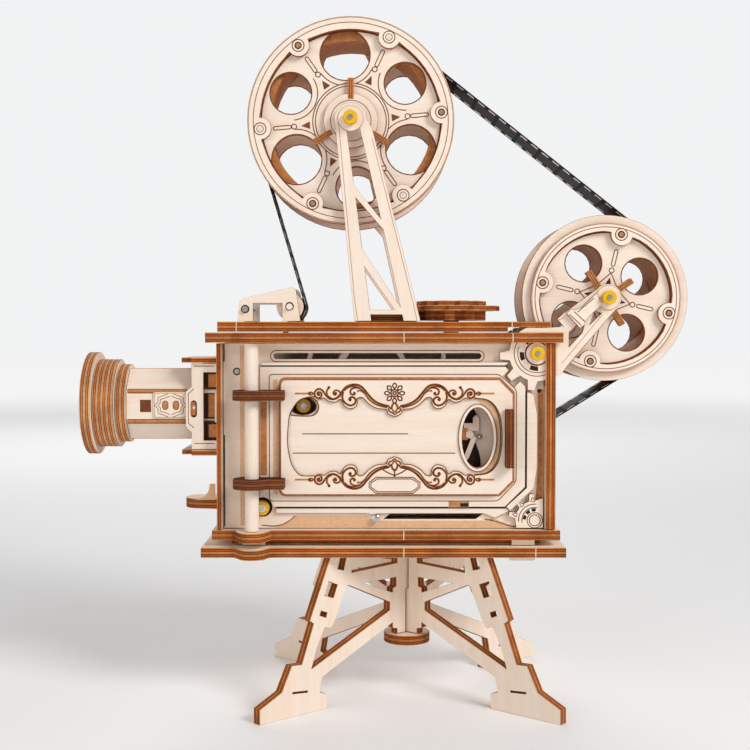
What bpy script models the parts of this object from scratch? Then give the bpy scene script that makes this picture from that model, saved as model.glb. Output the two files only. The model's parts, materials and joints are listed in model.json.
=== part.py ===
"""Hand cranked wooden film projector model, built up from laser cut plywood sheets.

X runs along the lens axis, with the lens towards -X and the rear reel towards +X.
The door is on the near side, towards -Y, and the crank is on the far side. Z is up,
and the feet stand on Z = 0. Pieces are first placed from the middle of the stand,
and one empty then carries them to the frame of the finished part.
"""

import math

import bmesh
import bpy
from mathutils import Matrix, Vector

MM = 0.001

# Plywood and clearances
SHEET = 1.9 * MM
DOUBLE = 2 * SHEET
GAP = 0.3 * MM
DOOR_LAP = 3.0 * MM
AXLE_RADIUS = 1.5 * MM
PIN_RADIUS = 1.2 * MM

# Stand of two crossing double sheets
STAND_HEIGHT = 57.7 * MM
STAND_ANGLE = math.radians(41)
FOOT_REACH = 74.2 * MM
FOOT_HEIGHT = 5.6 * MM
FOOT_LENGTH = 31.3 * MM
LEG_SPREAD = 33.2 * MM
LEG_TOP_WIDTH = 11.2 * MM
STRIP_HALF_WIDTH = 6.8 * MM
STRIP_BOTTOM = 23.0 * MM
STAND_DISC_RADIUS = 9.2 * MM

# Case
CASE_LEFT = -72.7 * MM
CASE_RIGHT = 55.5 * MM
CASE_HEIGHT = 70.5 * MM
CASE_HALF_DEPTH = 29.6 * MM
PLATE_STEP = 2.0 * MM
PLATE_OVERHANG = 1.9 * MM
SPACER_INSET = 5.0 * MM
PANEL_INSET = 4.2 * MM
CHASSIS_ROOM = 2.5 * MM
CHASSIS_LEFT = -64.0 * MM

# Door on its post
POST_X = -59.1 * MM
POST_STAND_OFF = 3.2 * MM
POST_RADIUS = 2.6 * MM
BOSS_RADIUS = 5.4 * MM
DOOR_LEFT = -56.4 * MM
DOOR_RIGHT = 44.2 * MM
DOOR_SILL = 8.4 * MM
DOOR_HEAD = 8.8 * MM
DOOR_CORNER = 7.6 * MM
DOOR_PANEL_LEFT_RIM = 8.0 * MM
DOOR_PANEL_RIM = 5.0 * MM
STRAP_RADIUS = 7.1 * MM
STRAP_REACH = 12.4 * MM
STRAP_HEIGHTS = (16.0 * MM, 49.2 * MM)
HANDLE_WIDTH = 3.0 * MM
HANDLE_HEIGHT = 22.0 * MM
HANDLE_DEPTH = 4.6 * MM
WINDOW_X = 26.0 * MM
WINDOW_HALF_WIDTH = 6.3 * MM
WINDOW_HALF_HEIGHT = 11.5 * MM
PEEP_HALF_WIDTH = 5.2 * MM
PEEP_HALF_HEIGHT = 3.4 * MM

# Film and the plane it runs in
FILM_Y = -8.0 * MM
FILM_THICKNESS = 0.5 * MM
FILM_SIDE_GAP = 0.5 * MM

# Lens
LENS_DROP = 23.6 * MM
BARREL_HALF_WIDTH = 13.6 * MM
BARREL_BORE = 10.9 * MM
BARREL_FRONT = 35.6 * MM
BARREL_TAIL = 4.8 * MM
FRONT_RING_RADIUS = 20.0 * MM
MIDDLE_RING_RADIUS = 17.2 * MM
MIDDLE_RING_LENGTH = 8.2 * MM
REAR_RING_RADIUS = 15.3 * MM
RING_GAP = 0.3 * MM
GLASS_THICKNESS = 4.6 * MM
BRACKET_REACH = 9.9 * MM
BRACKET_TOP_REACH = 14.0 * MM
BRACKET_STEP_REACH = 9.7 * MM
BRACKET_STEP_DEPTH = 4.6 * MM
BRACKET_HALF_HEIGHT = 16.9 * MM
SHELF_REACH = 12.4 * MM
SHELF_HEIGHT = 6.0 * MM

# Upper reel and its stand
UPPER_REEL_X = -22.0 * MM
UPPER_REEL_RISE = 76.3 * MM
UPPER_REEL_RADIUS = 39.3 * MM
UPPER_DRUM_RADIUS = 36.3 * MM
UPPER_DRUM_WALL = 5.3 * MM
UPPER_RIM_WIDTH = 4.9 * MM
UPPER_HOLE_CIRCLE = 25.2 * MM
UPPER_HOLE_RADII = (9.4 * MM, 7.8 * MM)
LOBE_RADIUS = 4.2 * MM
REEL_SIDE_ROOM = 6.5 * MM
STRUT_HEAD_RADIUS = 6.0 * MM
STRUT_SHOULDER = 7.2 * MM
STRUT_FOOT_LEFT = -20.6 * MM
STRUT_FOOT_RIGHT = 4.4 * MM
STRUT_TOP_WIDTH = 4.1 * MM
STRUT_FOOT_WIDTH = 6.4 * MM
STRUT_SILL = 2.4 * MM
STRUT_SILL_WIDTH = 1.8 * MM

# Rear reel and its arm
REAR_REEL_X = 75.2 * MM
REAR_REEL_RISE = 21.1 * MM
REAR_REEL_RADIUS = 31.7 * MM
REAR_DRUM_RADIUS = 29.0 * MM
REAR_DRUM_WALL = 6.6 * MM
REAR_RIM_OUTER = 28.6 * MM
REAR_RIM_WIDTH = 3.2 * MM
REAR_HOLE_CIRCLE = 15.6 * MM
REAR_HOLE_RADIUS = 6.9 * MM
PIVOT_X = 48.5 * MM
ARM_HEAD_RADIUS = 5.2 * MM
PIVOT_DROP = 3.8 * MM
COG_RADIUS = 10.6 * MM
COG_TIP = 14.2 * MM

# Crank, gears and rollers
CRANK_X = 23.5 * MM
CRANK_DROP = 34.9 * MM
FEED_DRUM_RADIUS = 12.0 * MM
GEAR_MODULE = 1.0 * MM
DRIVE_TEETH = 52
IDLER_TEETH = 32
SHUTTER_TEETH = 16
GEAR_ROOM = 4.7 * MM
SHUTTER_X = -40.1 * MM
SHUTTER_RADIUS = 9.3 * MM
CRANK_ARM_ROOM = 18.6 * MM
CRANK_HUB_RADIUS = 6.0 * MM
CRANK_END_RADIUS = 4.6 * MM
CRANK_THROW = 26.0 * MM
CRANK_REST_ANGLE = math.radians(205)
GRIP_LENGTH = 38.6 * MM
GRIP_RADIUS = 5.2 * MM
LOWER_ROLLER_X = -55.7 * MM
LOWER_ROLLER_RISE = 8.0 * MM
LOWER_ROLLER_RADIUS = 4.9 * MM
GATE_PIN_RADIUS = 3.0 * MM
GATE_PIN_X = -57.6 * MM
GATE_PIN_DROP = 8.9 * MM
GATE_HEAD = 8.5 * MM
GATE_FOOT = 21.0 * MM
GUIDE_ROLLER_X = -45.5 * MM
GUIDE_ROLLER_RISE = 5.8 * MM
GUIDE_ROLLER_RADIUS = 5.2 * MM
GUIDE_PIN_X = -62.5 * MM
GUIDE_LENGTH = 24.0 * MM
GUIDE_HEIGHT = 13.0 * MM

# Cog knob on the cover
KNOB_X = 17.2 * MM
KNOB_RADIUS = 18.9 * MM
KNOB_SMALL_RADIUS = 13.7 * MM
KNOB_STEM_RADIUS = 3.0 * MM

# Levels and planes worked out from the sizes above
BASE_BOTTOM = STAND_HEIGHT + GAP
SPACER_BOTTOM = BASE_BOTTOM + DOUBLE + GAP
UPPER_PLATE_BOTTOM = SPACER_BOTTOM + SHEET + GAP
BASE_TOP = UPPER_PLATE_BOTTOM + DOUBLE
CASE_BOTTOM = BASE_TOP + GAP
CASE_TOP = CASE_BOTTOM + CASE_HEIGHT
COVER_BOTTOM = CASE_TOP + GAP
COVER_STEP = COVER_BOTTOM + DOUBLE + GAP
COVER_TOP = COVER_STEP + DOUBLE
PANEL_LEFT = CASE_LEFT + SHEET + GAP
PANEL_RIGHT = CASE_RIGHT - DOUBLE - GAP
DOOR_BOTTOM = CASE_BOTTOM + DOOR_SILL
DOOR_TOP = CASE_TOP - DOOR_HEAD
LENS_Z = CASE_TOP - LENS_DROP
PIVOT_Z = CASE_TOP - PIVOT_DROP
REAR_REEL_Z = PIVOT_Z + REAR_REEL_RISE
UPPER_REEL_Z = COVER_TOP + UPPER_REEL_RISE
CRANK_Z = CASE_TOP - CRANK_DROP
SHUTTER_Z = LENS_Z - 0.2 * MM
LOWER_ROLLER_Z = CASE_BOTTOM + LOWER_ROLLER_RISE
GATE_PIN_Z = CASE_TOP - GATE_PIN_DROP
GUIDE_ROLLER_Z = COVER_TOP + GUIDE_ROLLER_RISE
LEG_TOP_REACH = FOOT_REACH - LEG_SPREAD
PANEL_OUTER = CASE_HALF_DEPTH - PANEL_INSET
POST_Y = -CASE_HALF_DEPTH - POST_STAND_OFF
STRUT_OFFSET = PANEL_OUTER + 2 * GAP + FILM_Y
DISC_INNER = STRUT_OFFSET - REEL_SIDE_ROOM
FILM_WIDTH = 2 * (DISC_INNER - FILM_SIDE_GAP)
CHASSIS_NEAR = FILM_Y + DISC_INNER + CHASSIS_ROOM
GEAR_NEAR = CHASSIS_NEAR + SHEET + GEAR_ROOM
GEAR_FAR = GEAR_NEAR + DOUBLE
CRANK_ARM_Y = PANEL_OUTER + CRANK_ARM_ROOM
STRUT_MIDDLE = STRUT_OFFSET + SHEET / 2
LENS_FRONT = CASE_LEFT - BARREL_FRONT - DOUBLE - MIDDLE_RING_LENGTH - DOUBLE - 3 * RING_GAP
FOOT_Y = FOOT_REACH * math.sin(STAND_ANGLE) + SHEET * math.cos(STAND_ANGLE)
GRIP_END = CRANK_ARM_Y + DOUBLE + GAP + GRIP_LENGTH

# The finished part's origin lies under the middle of its bounding box
ORIGIN = Vector((
    (LENS_FRONT + REAR_REEL_X + REAR_REEL_RADIUS) / 2,
    (GRIP_END - FOOT_Y) / 2,
    0.0,
))

FACINGS = {
    "X": Matrix(((0, 0, 1), (1, 0, 0), (0, 1, 0))).to_4x4(),
    "Y": Matrix(((1, 0, 0), (0, 0, -1), (0, 1, 0))).to_4x4(),
    "Z": Matrix.Identity(4),
}

PARTS = None
CUTTERS = None
MATERIALS = {}


def clear_scene():
    """Remove whatever the scene holds."""
    for found in list(bpy.data.objects):
        bpy.data.objects.remove(found, do_unlink=True)


def make_collections():
    """Make the two collections, one for the pieces and one for helper shapes."""
    global PARTS, CUTTERS
    PARTS = bpy.data.collections.new("film_projector_model")
    CUTTERS = bpy.data.collections.new("cutters")
    bpy.context.scene.collection.children.link(PARTS)
    bpy.context.scene.collection.children.link(CUTTERS)


def material(name, colour, roughness, metallic=0.0):
    """Return the named finish, made the first time that it is asked for."""
    if name not in MATERIALS:
        made = bpy.data.materials.new(name)
        made.use_nodes = True
        shader = made.node_tree.nodes["Principled BSDF"]
        shader.inputs["Base Color"].default_value = (*colour, 1.0)
        shader.inputs["Roughness"].default_value = roughness
        shader.inputs["Metallic"].default_value = metallic
        MATERIALS[name] = made
    return MATERIALS[name]


def pale_wood():
    """Face of the plywood."""
    return material("pale_plywood", (0.86, 0.72, 0.55), 0.6)


def burnt_wood():
    """Laser cut edge of the plywood."""
    return material("burnt_plywood", (0.45, 0.20, 0.07), 0.65)


def steel():
    """Bright axles and pins."""
    return material("steel", (0.62, 0.62, 0.64), 0.25, 1.0)


def film_black():
    """Dark film base."""
    return material("film", (0.03, 0.03, 0.035), 0.35)


def clear_glass():
    """Lens glass."""
    return material("lens_glass", (0.80, 0.88, 0.90), 0.05)


def empty(name, place, parent=None):
    """Make an empty that carries the pieces of one body."""
    made = bpy.data.objects.new(name, None)
    made.empty_display_size = 5 * MM
    made.location = place
    made.parent = parent
    bpy.context.scene.collection.objects.link(made)
    return made


def link(piece, finish, parent, helper=False):
    """Put a piece in its collection, under its parent, with its finish."""
    (CUTTERS if helper else PARTS).objects.link(piece)
    piece.parent = parent
    if finish is not None:
        piece.data.materials.append(finish)
    if helper:
        piece.hide_render = True
        piece.display_type = "WIRE"
    return piece


def circle(radius, count, centre=(0.0, 0.0), start=0.0):
    """Points on a circle."""
    return arc(centre, radius, start, start + 2 * math.pi * (count - 1) / count, count)


def arc(centre, radius, first, last, count):
    """Points on an arc, both ends included."""
    steps = [first + (last - first) * i / (count - 1) for i in range(count)]
    return [(centre[0] + radius * math.cos(a), centre[1] + radius * math.sin(a)) for a in steps]


def oval(half_width, half_height, centre, count):
    """Points on an ellipse."""
    return [(centre[0] + half_width * x, centre[1] + half_height * y) for x, y in circle(1, count)]


def rectangle(left, bottom, right, top):
    """Corners of an upright rectangle."""
    return [(left, bottom), (right, bottom), (right, top), (left, top)]


def slot(left, bottom, right, top, count=7):
    """A slot with round ends."""
    radius = (top - bottom) / 2
    level = (top + bottom) / 2
    right_end = arc((right - radius, level), radius, -math.pi / 2, math.pi / 2, count)
    left_end = arc((left + radius, level), radius, math.pi / 2, 3 * math.pi / 2, count)
    return right_end + left_end


def octagon(half_width, centre=(0.0, 0.0)):
    """An octagon with a flat side at each compass point."""
    return circle(half_width / math.cos(math.pi / 8), 8, centre, math.pi / 8)


def cog(teeth, root, tip, share=0.5, taper=0.7, start=0.0):
    """Outline of a cog wheel: share is the tooth's part of a pitch, taper its tip over its root."""
    points = []
    pitch = 2 * math.pi / teeth
    for i in range(teeth):
        middle = start + i * pitch
        wide = pitch * share / 2
        narrow = wide * taper
        for radius, angle in ((root, -wide), (tip, -narrow), (tip, narrow), (root, wide)):
            points.append((radius * math.cos(middle + angle), radius * math.sin(middle + angle)))
    return points


def gear(teeth, start):
    """Outline of a spur gear with room at its flanks and roots."""
    pitch_radius = GEAR_MODULE * teeth / 2
    root = pitch_radius - 1.25 * GEAR_MODULE
    tip = pitch_radius + 0.9 * GEAR_MODULE
    return cog(teeth, root, tip, share=0.56, taper=0.42, start=start)


def plate(name, loops, thickness, facing, place, finish, parent, helper=False):
    """A sheet cut to an outline with holes, centred on its middle plane."""
    curve = bpy.data.curves.new(name, "CURVE")
    curve.dimensions = "2D"
    curve.fill_mode = "BOTH"
    curve.extrude = thickness / 2
    for points in loops:
        spline = curve.splines.new("POLY")
        spline.points.add(len(points) - 1)
        for point, (x, y) in zip(spline.points, points):
            point.co = (x, y, 0.0, 1.0)
        spline.use_cyclic_u = True
    piece = bpy.data.objects.new(name, curve)
    piece.matrix_local = Matrix.Translation(place) @ FACINGS[facing]
    return link(piece, finish, parent, helper)


def turned(name, profile, facing, place, finish, parent, sides=32, helper=False):
    """A turned piece. The profile lists radius and height, running down its outer side."""
    mesh = bpy.data.meshes.new(name)
    points = [(radius, 0.0, height) for radius, height in profile]
    closed = profile[0][0] > 0
    edges = [(i, i + 1) for i in range(len(points) - 1)]
    if closed:
        edges.append((len(points) - 1, 0))
    mesh.from_pydata(points, edges, [])
    piece = bpy.data.objects.new(name, mesh)
    piece.matrix_local = Matrix.Translation(place) @ FACINGS[facing]
    link(piece, finish, parent, helper)
    screw = piece.modifiers.new("turn", "SCREW")
    screw.axis = "Z"
    screw.steps = sides
    screw.render_steps = sides
    screw.use_merge_vertices = True
    screw.merge_threshold = 0.01 * MM
    screw.use_smooth_shade = True
    return piece


def rod_profile(radius, near, far):
    """Profile of a plain rod along Y: heights of a turned piece run towards the near side."""
    return [(0.0, -near), (radius, -near), (radius, -far), (0.0, -far)]


def as_mesh(piece):
    """Turn a curve or a modified piece into a plain mesh under the same name, keeping its place."""
    name = piece.name
    bpy.context.view_layer.update()
    graph = bpy.context.evaluated_depsgraph_get()
    mesh = bpy.data.meshes.new_from_object(piece.evaluated_get(graph))
    work = bmesh.new()
    work.from_mesh(mesh)
    bmesh.ops.remove_doubles(work, verts=work.verts, dist=0.001 * MM)
    bmesh.ops.recalc_face_normals(work, faces=work.faces)
    work.to_mesh(mesh)
    work.free()
    made = bpy.data.objects.new(name, mesh)
    made.parent = piece.parent
    made.matrix_local = piece.matrix_local.copy()
    for owner in piece.users_collection:
        owner.objects.link(made)
    made.hide_render = piece.hide_render
    made.display_type = piece.display_type
    bpy.data.objects.remove(piece, do_unlink=True)
    made.name = name
    return made


def combine(piece, helpers, operation):
    """Join helpers to a piece, or cut them from it."""
    piece = as_mesh(piece)
    for helper in helpers:
        modifier = piece.modifiers.new(helper.name, "BOOLEAN")
        modifier.operation = operation
        modifier.solver = "EXACT"
        modifier.object = as_mesh(helper)
    return piece


def half_lap():
    """Half the slot that one stand plate needs where the other crosses it."""
    crossing = 2 * STAND_ANGLE
    return DOUBLE / 2 * (1 + abs(math.cos(crossing))) / math.sin(crossing) + GAP


def stand_outline(slot_at_top):
    """Outline and holes of one stand plate, seen square on, with u = 0 at the middle."""
    top = STAND_HEIGHT
    lap_level = 0.6 * (top - STRIP_BOTTOM) + STRIP_BOTTOM - 3.3 * MM
    slit = half_lap()
    hub = STRIP_HALF_WIDTH + 2.4 * MM
    leg_inner = LEG_TOP_REACH - LEG_TOP_WIDTH
    reach = FOOT_REACH
    half = [
        (STRIP_HALF_WIDTH, top),
        (STRIP_HALF_WIDTH, top - 6.4 * MM),
        (leg_inner + 0.8 * MM, top - 7.3 * MM),
        (leg_inner, top),
        (leg_inner + 3.0 * MM, top),
        (leg_inner + 4.7 * MM, top - 5.9 * MM),
        (leg_inner + 8.0 * MM, top - 4.9 * MM),
        (leg_inner + 6.6 * MM, top),
        (LEG_TOP_REACH, top),
        (reach - 23.2 * MM, 34.8 * MM),
        (reach - 25.1 * MM, 33.4 * MM),
        (reach - 19.4 * MM, 18.9 * MM),
        (reach - 14.7 * MM, 19.2 * MM),
        (reach - 10.0 * MM, 10.1 * MM),
        (reach, FOOT_HEIGHT),
        (reach, 0.0),
        (reach - FOOT_LENGTH, 0.0),
        (reach - FOOT_LENGTH, FOOT_HEIGHT),
        (reach - FOOT_LENGTH + 3.4 * MM, FOOT_HEIGHT + 1.3 * MM),
        (reach - FOOT_LENGTH + 2.2 * MM, 12.4 * MM),
        (hub, 27.8 * MM),
        (hub, 25.6 * MM),
        (STRIP_HALF_WIDTH, 25.0 * MM),
        (STRIP_HALF_WIDTH, STRIP_BOTTOM),
    ]
    mirrored = [(-u, z) for u, z in reversed(half)]
    if slot_at_top:
        closing = [(-slit, top), (-slit, lap_level), (slit, lap_level), (slit, top)]
        outline = half + mirrored + closing
    else:
        notch = [(slit, STRIP_BOTTOM), (slit, lap_level), (-slit, lap_level), (-slit, STRIP_BOTTOM)]
        outline = half + notch + mirrored
    right_holes = [
        [(leg_inner + 3.2 * MM, top - 12.0 * MM), (leg_inner + 2.0 * MM, top - 12.0 * MM),
         (hub + 1.6 * MM, 36.2 * MM), (hub + 1.6 * MM, 32.9 * MM), (reach - 23.9 * MM, 16.4 * MM),
         (reach - 26.5 * MM, 24.0 * MM), (reach - 30.4 * MM, 31.4 * MM),
         (reach - 33.3 * MM, 30.3 * MM), (reach - 35.3 * MM, 32.9 * MM)],
        [(leg_inner - 5.2 * MM, top - 12.2 * MM), (STRIP_HALF_WIDTH + 0.6 * MM, top - 12.0 * MM),
         (STRIP_HALF_WIDTH + 0.6 * MM, top - 15.6 * MM), (hub, top - 16.2 * MM), (hub, top - 17.9 * MM)],
        [(reach - 32.3 * MM, 48.5 * MM), (reach - 36.7 * MM, 46.7 * MM),
         (reach - 34.6 * MM, 41.8 * MM), (reach - 30.3 * MM, 43.4 * MM)],
        [(reach - 28.5 * MM, 37.9 * MM), (reach - 31.6 * MM, 36.7 * MM),
         (reach - 31.0 * MM, 34.8 * MM), (reach - 27.9 * MM, 36.1 * MM)],
        [(reach - 15.0 * MM, 9.3 * MM), (reach - 22.1 * MM, 8.6 * MM),
         (reach - 22.1 * MM, 7.9 * MM), (reach - 15.0 * MM, 8.6 * MM)],
    ]
    left_holes = [[(-u, z) for u, z in hole] for hole in right_holes]
    return [outline] + right_holes + left_holes


def make_stand(root):
    """Two half lapped plates on four feet, and the round disc under their middle."""
    for name, angle, slot_at_top in (
        ("stand_plate_main", STAND_ANGLE, False),
        ("stand_plate_cross", -STAND_ANGLE, True),
    ):
        piece = plate(name, stand_outline(slot_at_top), DOUBLE, "Y", (0, 0, 0), pale_wood(), root)
        piece.matrix_local = Matrix.Rotation(angle, 4, "Z") @ FACINGS["Y"]
    level = STRIP_BOTTOM - GAP - DOUBLE / 2
    plate("stand_disc", [circle(STAND_DISC_RADIUS, 40)], DOUBLE, "Z", (0, 0, level), pale_wood(), root)


def case_plate_outline(left, right, half_depth):
    """A case plate seen from above, with the round boss under or over the door post."""
    blend = BOSS_RADIUS + 1.6 * MM
    boss = arc((POST_X, POST_Y), BOSS_RADIUS, math.radians(200), math.radians(340), 13)
    return (
        [(left, half_depth), (left, -half_depth), (POST_X - blend, -half_depth)]
        + boss
        + [(POST_X + blend, -half_depth), (right, -half_depth), (right, half_depth)]
    )


def make_base(root):
    """Three stacked plates under the case, each step set back from the one below."""
    lower = case_plate_outline(
        CASE_LEFT - PLATE_OVERHANG - 2 * PLATE_STEP, CASE_RIGHT + PLATE_OVERHANG + PLATE_STEP,
        CASE_HALF_DEPTH + PLATE_STEP)
    upper = case_plate_outline(
        CASE_LEFT - PLATE_OVERHANG, CASE_RIGHT + PLATE_OVERHANG, CASE_HALF_DEPTH)
    spacer = rectangle(
        CASE_LEFT + SPACER_INSET, SPACER_INSET - CASE_HALF_DEPTH,
        CASE_RIGHT - SPACER_INSET, CASE_HALF_DEPTH - SPACER_INSET)
    plate("base_lower_plate", [lower], DOUBLE, "Z", (0, 0, BASE_BOTTOM + DOUBLE / 2), pale_wood(), root)
    plate("base_spacer_plate", [spacer], SHEET, "Z", (0, 0, SPACER_BOTTOM + SHEET / 2), pale_wood(), root)
    plate("base_upper_plate", [upper], DOUBLE, "Z", (0, 0, UPPER_PLATE_BOTTOM + DOUBLE / 2), pale_wood(), root)


def film_slot():
    """Slot in the cover for the film and the guide roller's lower side."""
    half = FILM_WIDTH / 2 + 2 * FILM_SIDE_GAP
    right = GUIDE_ROLLER_X + GUIDE_ROLLER_RADIUS + 3.0 * MM
    return rectangle(GATE_PIN_X + 2.6 * MM, FILM_Y - half, right, FILM_Y + half)


def make_cover(root):
    """Two stacked plates over the case, open at the right for the rear reel and its arms."""
    holes = [film_slot(), circle(KNOB_STEM_RADIUS + GAP, 24, (KNOB_X, FILM_Y))]
    right = CASE_RIGHT + PLATE_OVERHANG + 0.5 * MM
    lower = case_plate_outline(
        CASE_LEFT - PLATE_OVERHANG - PLATE_STEP, right, CASE_HALF_DEPTH + PLATE_STEP)
    arms = STRUT_OFFSET + SHEET + GAP
    lower[-1:-1] = end_notch(PIVOT_X - COG_RADIUS - 0.5 * MM, right, arms)
    plate("cover_lower_plate", [lower] + holes, DOUBLE, "Z", (0, 0, COVER_BOTTOM + DOUBLE / 2), pale_wood(), root)
    half, right = CASE_HALF_DEPTH - 1.1 * MM, CASE_RIGHT - PLATE_STEP
    upper = rectangle(CASE_LEFT + GAP, -half, right, half)
    reel_notch = end_notch(REAR_REEL_X - REAR_REEL_RADIUS - 0.6 * MM, right, DISC_INNER + 2 * SHEET + 3 * GAP)
    upper[2:2] = reel_notch
    body = plate("cover_upper_plate", [upper] + holes, SHEET, "Z",
                 (0, 0, COVER_STEP + 1.5 * SHEET), pale_wood(), root)
    end = PIVOT_X - COG_RADIUS - 0.5 * MM
    under = rectangle(CASE_LEFT + GAP, -half, end, half)
    sheet = plate("cover_under_sheet", [under] + holes, SHEET + 0.2 * MM, "Z",
                  (0, 0, COVER_STEP + SHEET / 2 + 0.1 * MM), pale_wood(), root, True)
    combine(body, [sheet], "UNION")


def end_notch(left, right, reach):
    """Corners of a notch about the film plane, open at a plate's right end."""
    near, far = FILM_Y - reach, FILM_Y + reach
    return [(right, near), (left, near), (left, far), (right, far)]


def door_edge(inset):
    """Outline of the door with two cut corners, or with an inset that of its opening."""
    left, right = DOOR_LEFT + inset, DOOR_RIGHT - inset
    bottom, top = DOOR_BOTTOM + inset, DOOR_TOP - inset
    cut = DOOR_CORNER - 0.4 * inset
    return [(left, bottom), (right - cut, bottom), (right, bottom + cut),
            (right, top - cut), (right - cut, top), (left, top)]


def make_walls(root):
    """The four walls of the case, and the chassis plate with the dowel that turns the film."""
    near = -PANEL_OUTER + SHEET / 2
    sheet = rectangle(PANEL_LEFT, CASE_BOTTOM, PANEL_RIGHT, CASE_TOP)
    axle_hole = AXLE_RADIUS + GAP
    upper_slot = slot(DOOR_LEFT + 5.0 * MM, DOOR_TOP + 2.8 * MM, WINDOW_X + 1.7 * MM, DOOR_TOP + 5.1 * MM)
    lower_slot = [(-9.7 * MM, CASE_BOTTOM + 3.4 * MM), (25.7 * MM, CASE_BOTTOM + 3.4 * MM),
                  (28.7 * MM, CASE_BOTTOM + 5.7 * MM), (-6.7 * MM, CASE_BOTTOM + 5.7 * MM)]
    pivot_hole = circle(axle_hole, 16, (PIVOT_X, PIVOT_Z))
    roller_hole = circle(axle_hole, 16, (LOWER_ROLLER_X, LOWER_ROLLER_Z))
    plate("near_side_panel", [sheet, door_edge(DOOR_LAP), upper_slot, lower_slot, pivot_hole, roller_hole],
          SHEET, "Y", (0, near, 0), pale_wood(), root)
    idler = idler_place()
    axle_holes = [circle(axle_hole, 16, place) for place in
                  ((CRANK_X, CRANK_Z), idler, (SHUTTER_X, SHUTTER_Z))]
    plate("far_side_panel", [sheet] + axle_holes, SHEET, "Y", (0, -near, 0), pale_wood(), root)
    chassis = rectangle(CHASSIS_LEFT, CASE_BOTTOM, PANEL_RIGHT, CASE_TOP)
    body = plate("chassis_plate", [chassis, pivot_hole, roller_hole] + axle_holes, SHEET, "Y",
                 (0, CHASSIS_NEAR + SHEET / 2, 0), pale_wood(), root)
    near_end = FILM_Y - FILM_WIDTH / 2 - FILM_SIDE_GAP
    dowel = turned("gate_dowel", rod_profile(GATE_PIN_RADIUS, near_end, CHASSIS_NEAR + SHEET / 2), "Y",
                   (GATE_PIN_X, 0, GATE_PIN_Z), pale_wood(), root, 20, True)
    combine(body, [dowel], "UNION")
    wall = rectangle(-CASE_HALF_DEPTH, CASE_BOTTOM, CASE_HALF_DEPTH, CASE_TOP)
    plate("lens_wall", [wall, octagon(BARREL_HALF_WIDTH + GAP, (FILM_Y, LENS_Z))],
          SHEET, "X", (CASE_LEFT + SHEET / 2, 0, 0), pale_wood(), root)
    make_rear_wall(root)


def make_rear_wall(root):
    """The double rear wall, slotted from above for the reel arms and lower down for the film."""
    half, gap = CASE_HALF_DEPTH, SHEET / 2 + GAP
    arm_sill = PIVOT_Z - COG_RADIUS - 1.6 * MM
    dip = math.sqrt(REAR_REEL_RADIUS ** 2 - (REAR_REEL_X - CASE_RIGHT) ** 2)
    reel_sill = REAR_REEL_Z - dip - MM
    outer, inner = STRUT_MIDDLE + gap, STRUT_MIDDLE - gap
    outline = [(-half, CASE_BOTTOM), (half, CASE_BOTTOM), (half, CASE_TOP)]
    for across, height in ((outer, CASE_TOP), (outer, arm_sill), (inner, arm_sill), (inner, reel_sill),
                           (-inner, reel_sill), (-inner, arm_sill), (-outer, arm_sill), (-outer, CASE_TOP)):
        outline.append((FILM_Y + across, height))
    outline.append((-half, CASE_TOP))
    reach = FILM_WIDTH / 2 + 2 * FILM_SIDE_GAP
    opening = rectangle(FILM_Y - reach, CRANK_Z + 0.6 * MM, FILM_Y + reach, CRANK_Z + 7.8 * MM)
    plate("rear_wall", [outline, opening], DOUBLE, "X", (CASE_RIGHT - DOUBLE / 2, 0, 0), pale_wood(), root)


def door_outline():
    """The door sheet, cut back round the reel arm's cog tooth and the lower roller's collar."""
    edge = door_edge(0.0)
    outward = Vector((1, 1)).normalized()
    across = Vector((1, -1)).normalized()
    pivot = Vector((PIVOT_X, PIVOT_Z))
    face = (pivot - Vector(edge[3])).dot(outward)
    tooth = [tuple(pivot - outward * depth + across * side) for depth, side in (
        (face, 3.0 * MM), (COG_TIP + 0.9 * MM, 3.0 * MM), (COG_TIP + 0.9 * MM, -3.0 * MM), (face, -3.0 * MM))]
    notch = arc((LOWER_ROLLER_X, LOWER_ROLLER_Z), 4.1 * MM, math.radians(99.8), math.radians(5.6), 7)
    return notch + edge[1:4] + tooth + edge[4:]


def make_door(root):
    """The door: two sheets with the windows, the two hinge straps and the handle."""
    post = (POST_X, POST_Y, CASE_BOTTOM)
    hinge = empty("door_hinge", post, root)
    shift = Vector((-POST_X, -POST_Y, -CASE_BOTTOM))
    window_z = CRANK_Z - 0.8 * MM
    window = oval(WINDOW_HALF_WIDTH, WINDOW_HALF_HEIGHT, (WINDOW_X, window_z), 28)
    peep = oval(PEEP_HALF_WIDTH, PEEP_HALF_HEIGHT, (SHUTTER_X, SHUTTER_Z), 16)
    near = -PANEL_OUTER - GAP - SHEET / 2
    plate("door_plate", [door_outline(), window, peep], SHEET, "Y",
          shift + Vector((0, near, 0)), pale_wood(), hinge)
    left, right = DOOR_LEFT + DOOR_PANEL_LEFT_RIM, DOOR_RIGHT - DOOR_PANEL_RIM
    bottom, top = DOOR_BOTTOM + DOOR_PANEL_RIM, DOOR_TOP - DOOR_PANEL_RIM
    cut = 0.7 * DOOR_CORNER
    raised = [(left, bottom), (right - cut, bottom), (right, bottom + cut),
              (right, top - cut), (right - cut, top), (left, top)]
    front = near - SHEET - GAP
    plate("door_raised_panel", [raised, window, peep], SHEET, "Y",
          shift + Vector((0, front, 0)), pale_wood(), hinge)
    make_straps(hinge)
    handle_y = front - SHEET / 2 - GAP
    plate("door_handle", [rectangle(right - HANDLE_WIDTH, handle_y - HANDLE_DEPTH, right, handle_y)],
          HANDLE_HEIGHT, "Z", shift + Vector((0, 0, window_z)), burnt_wood(), hinge)


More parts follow.
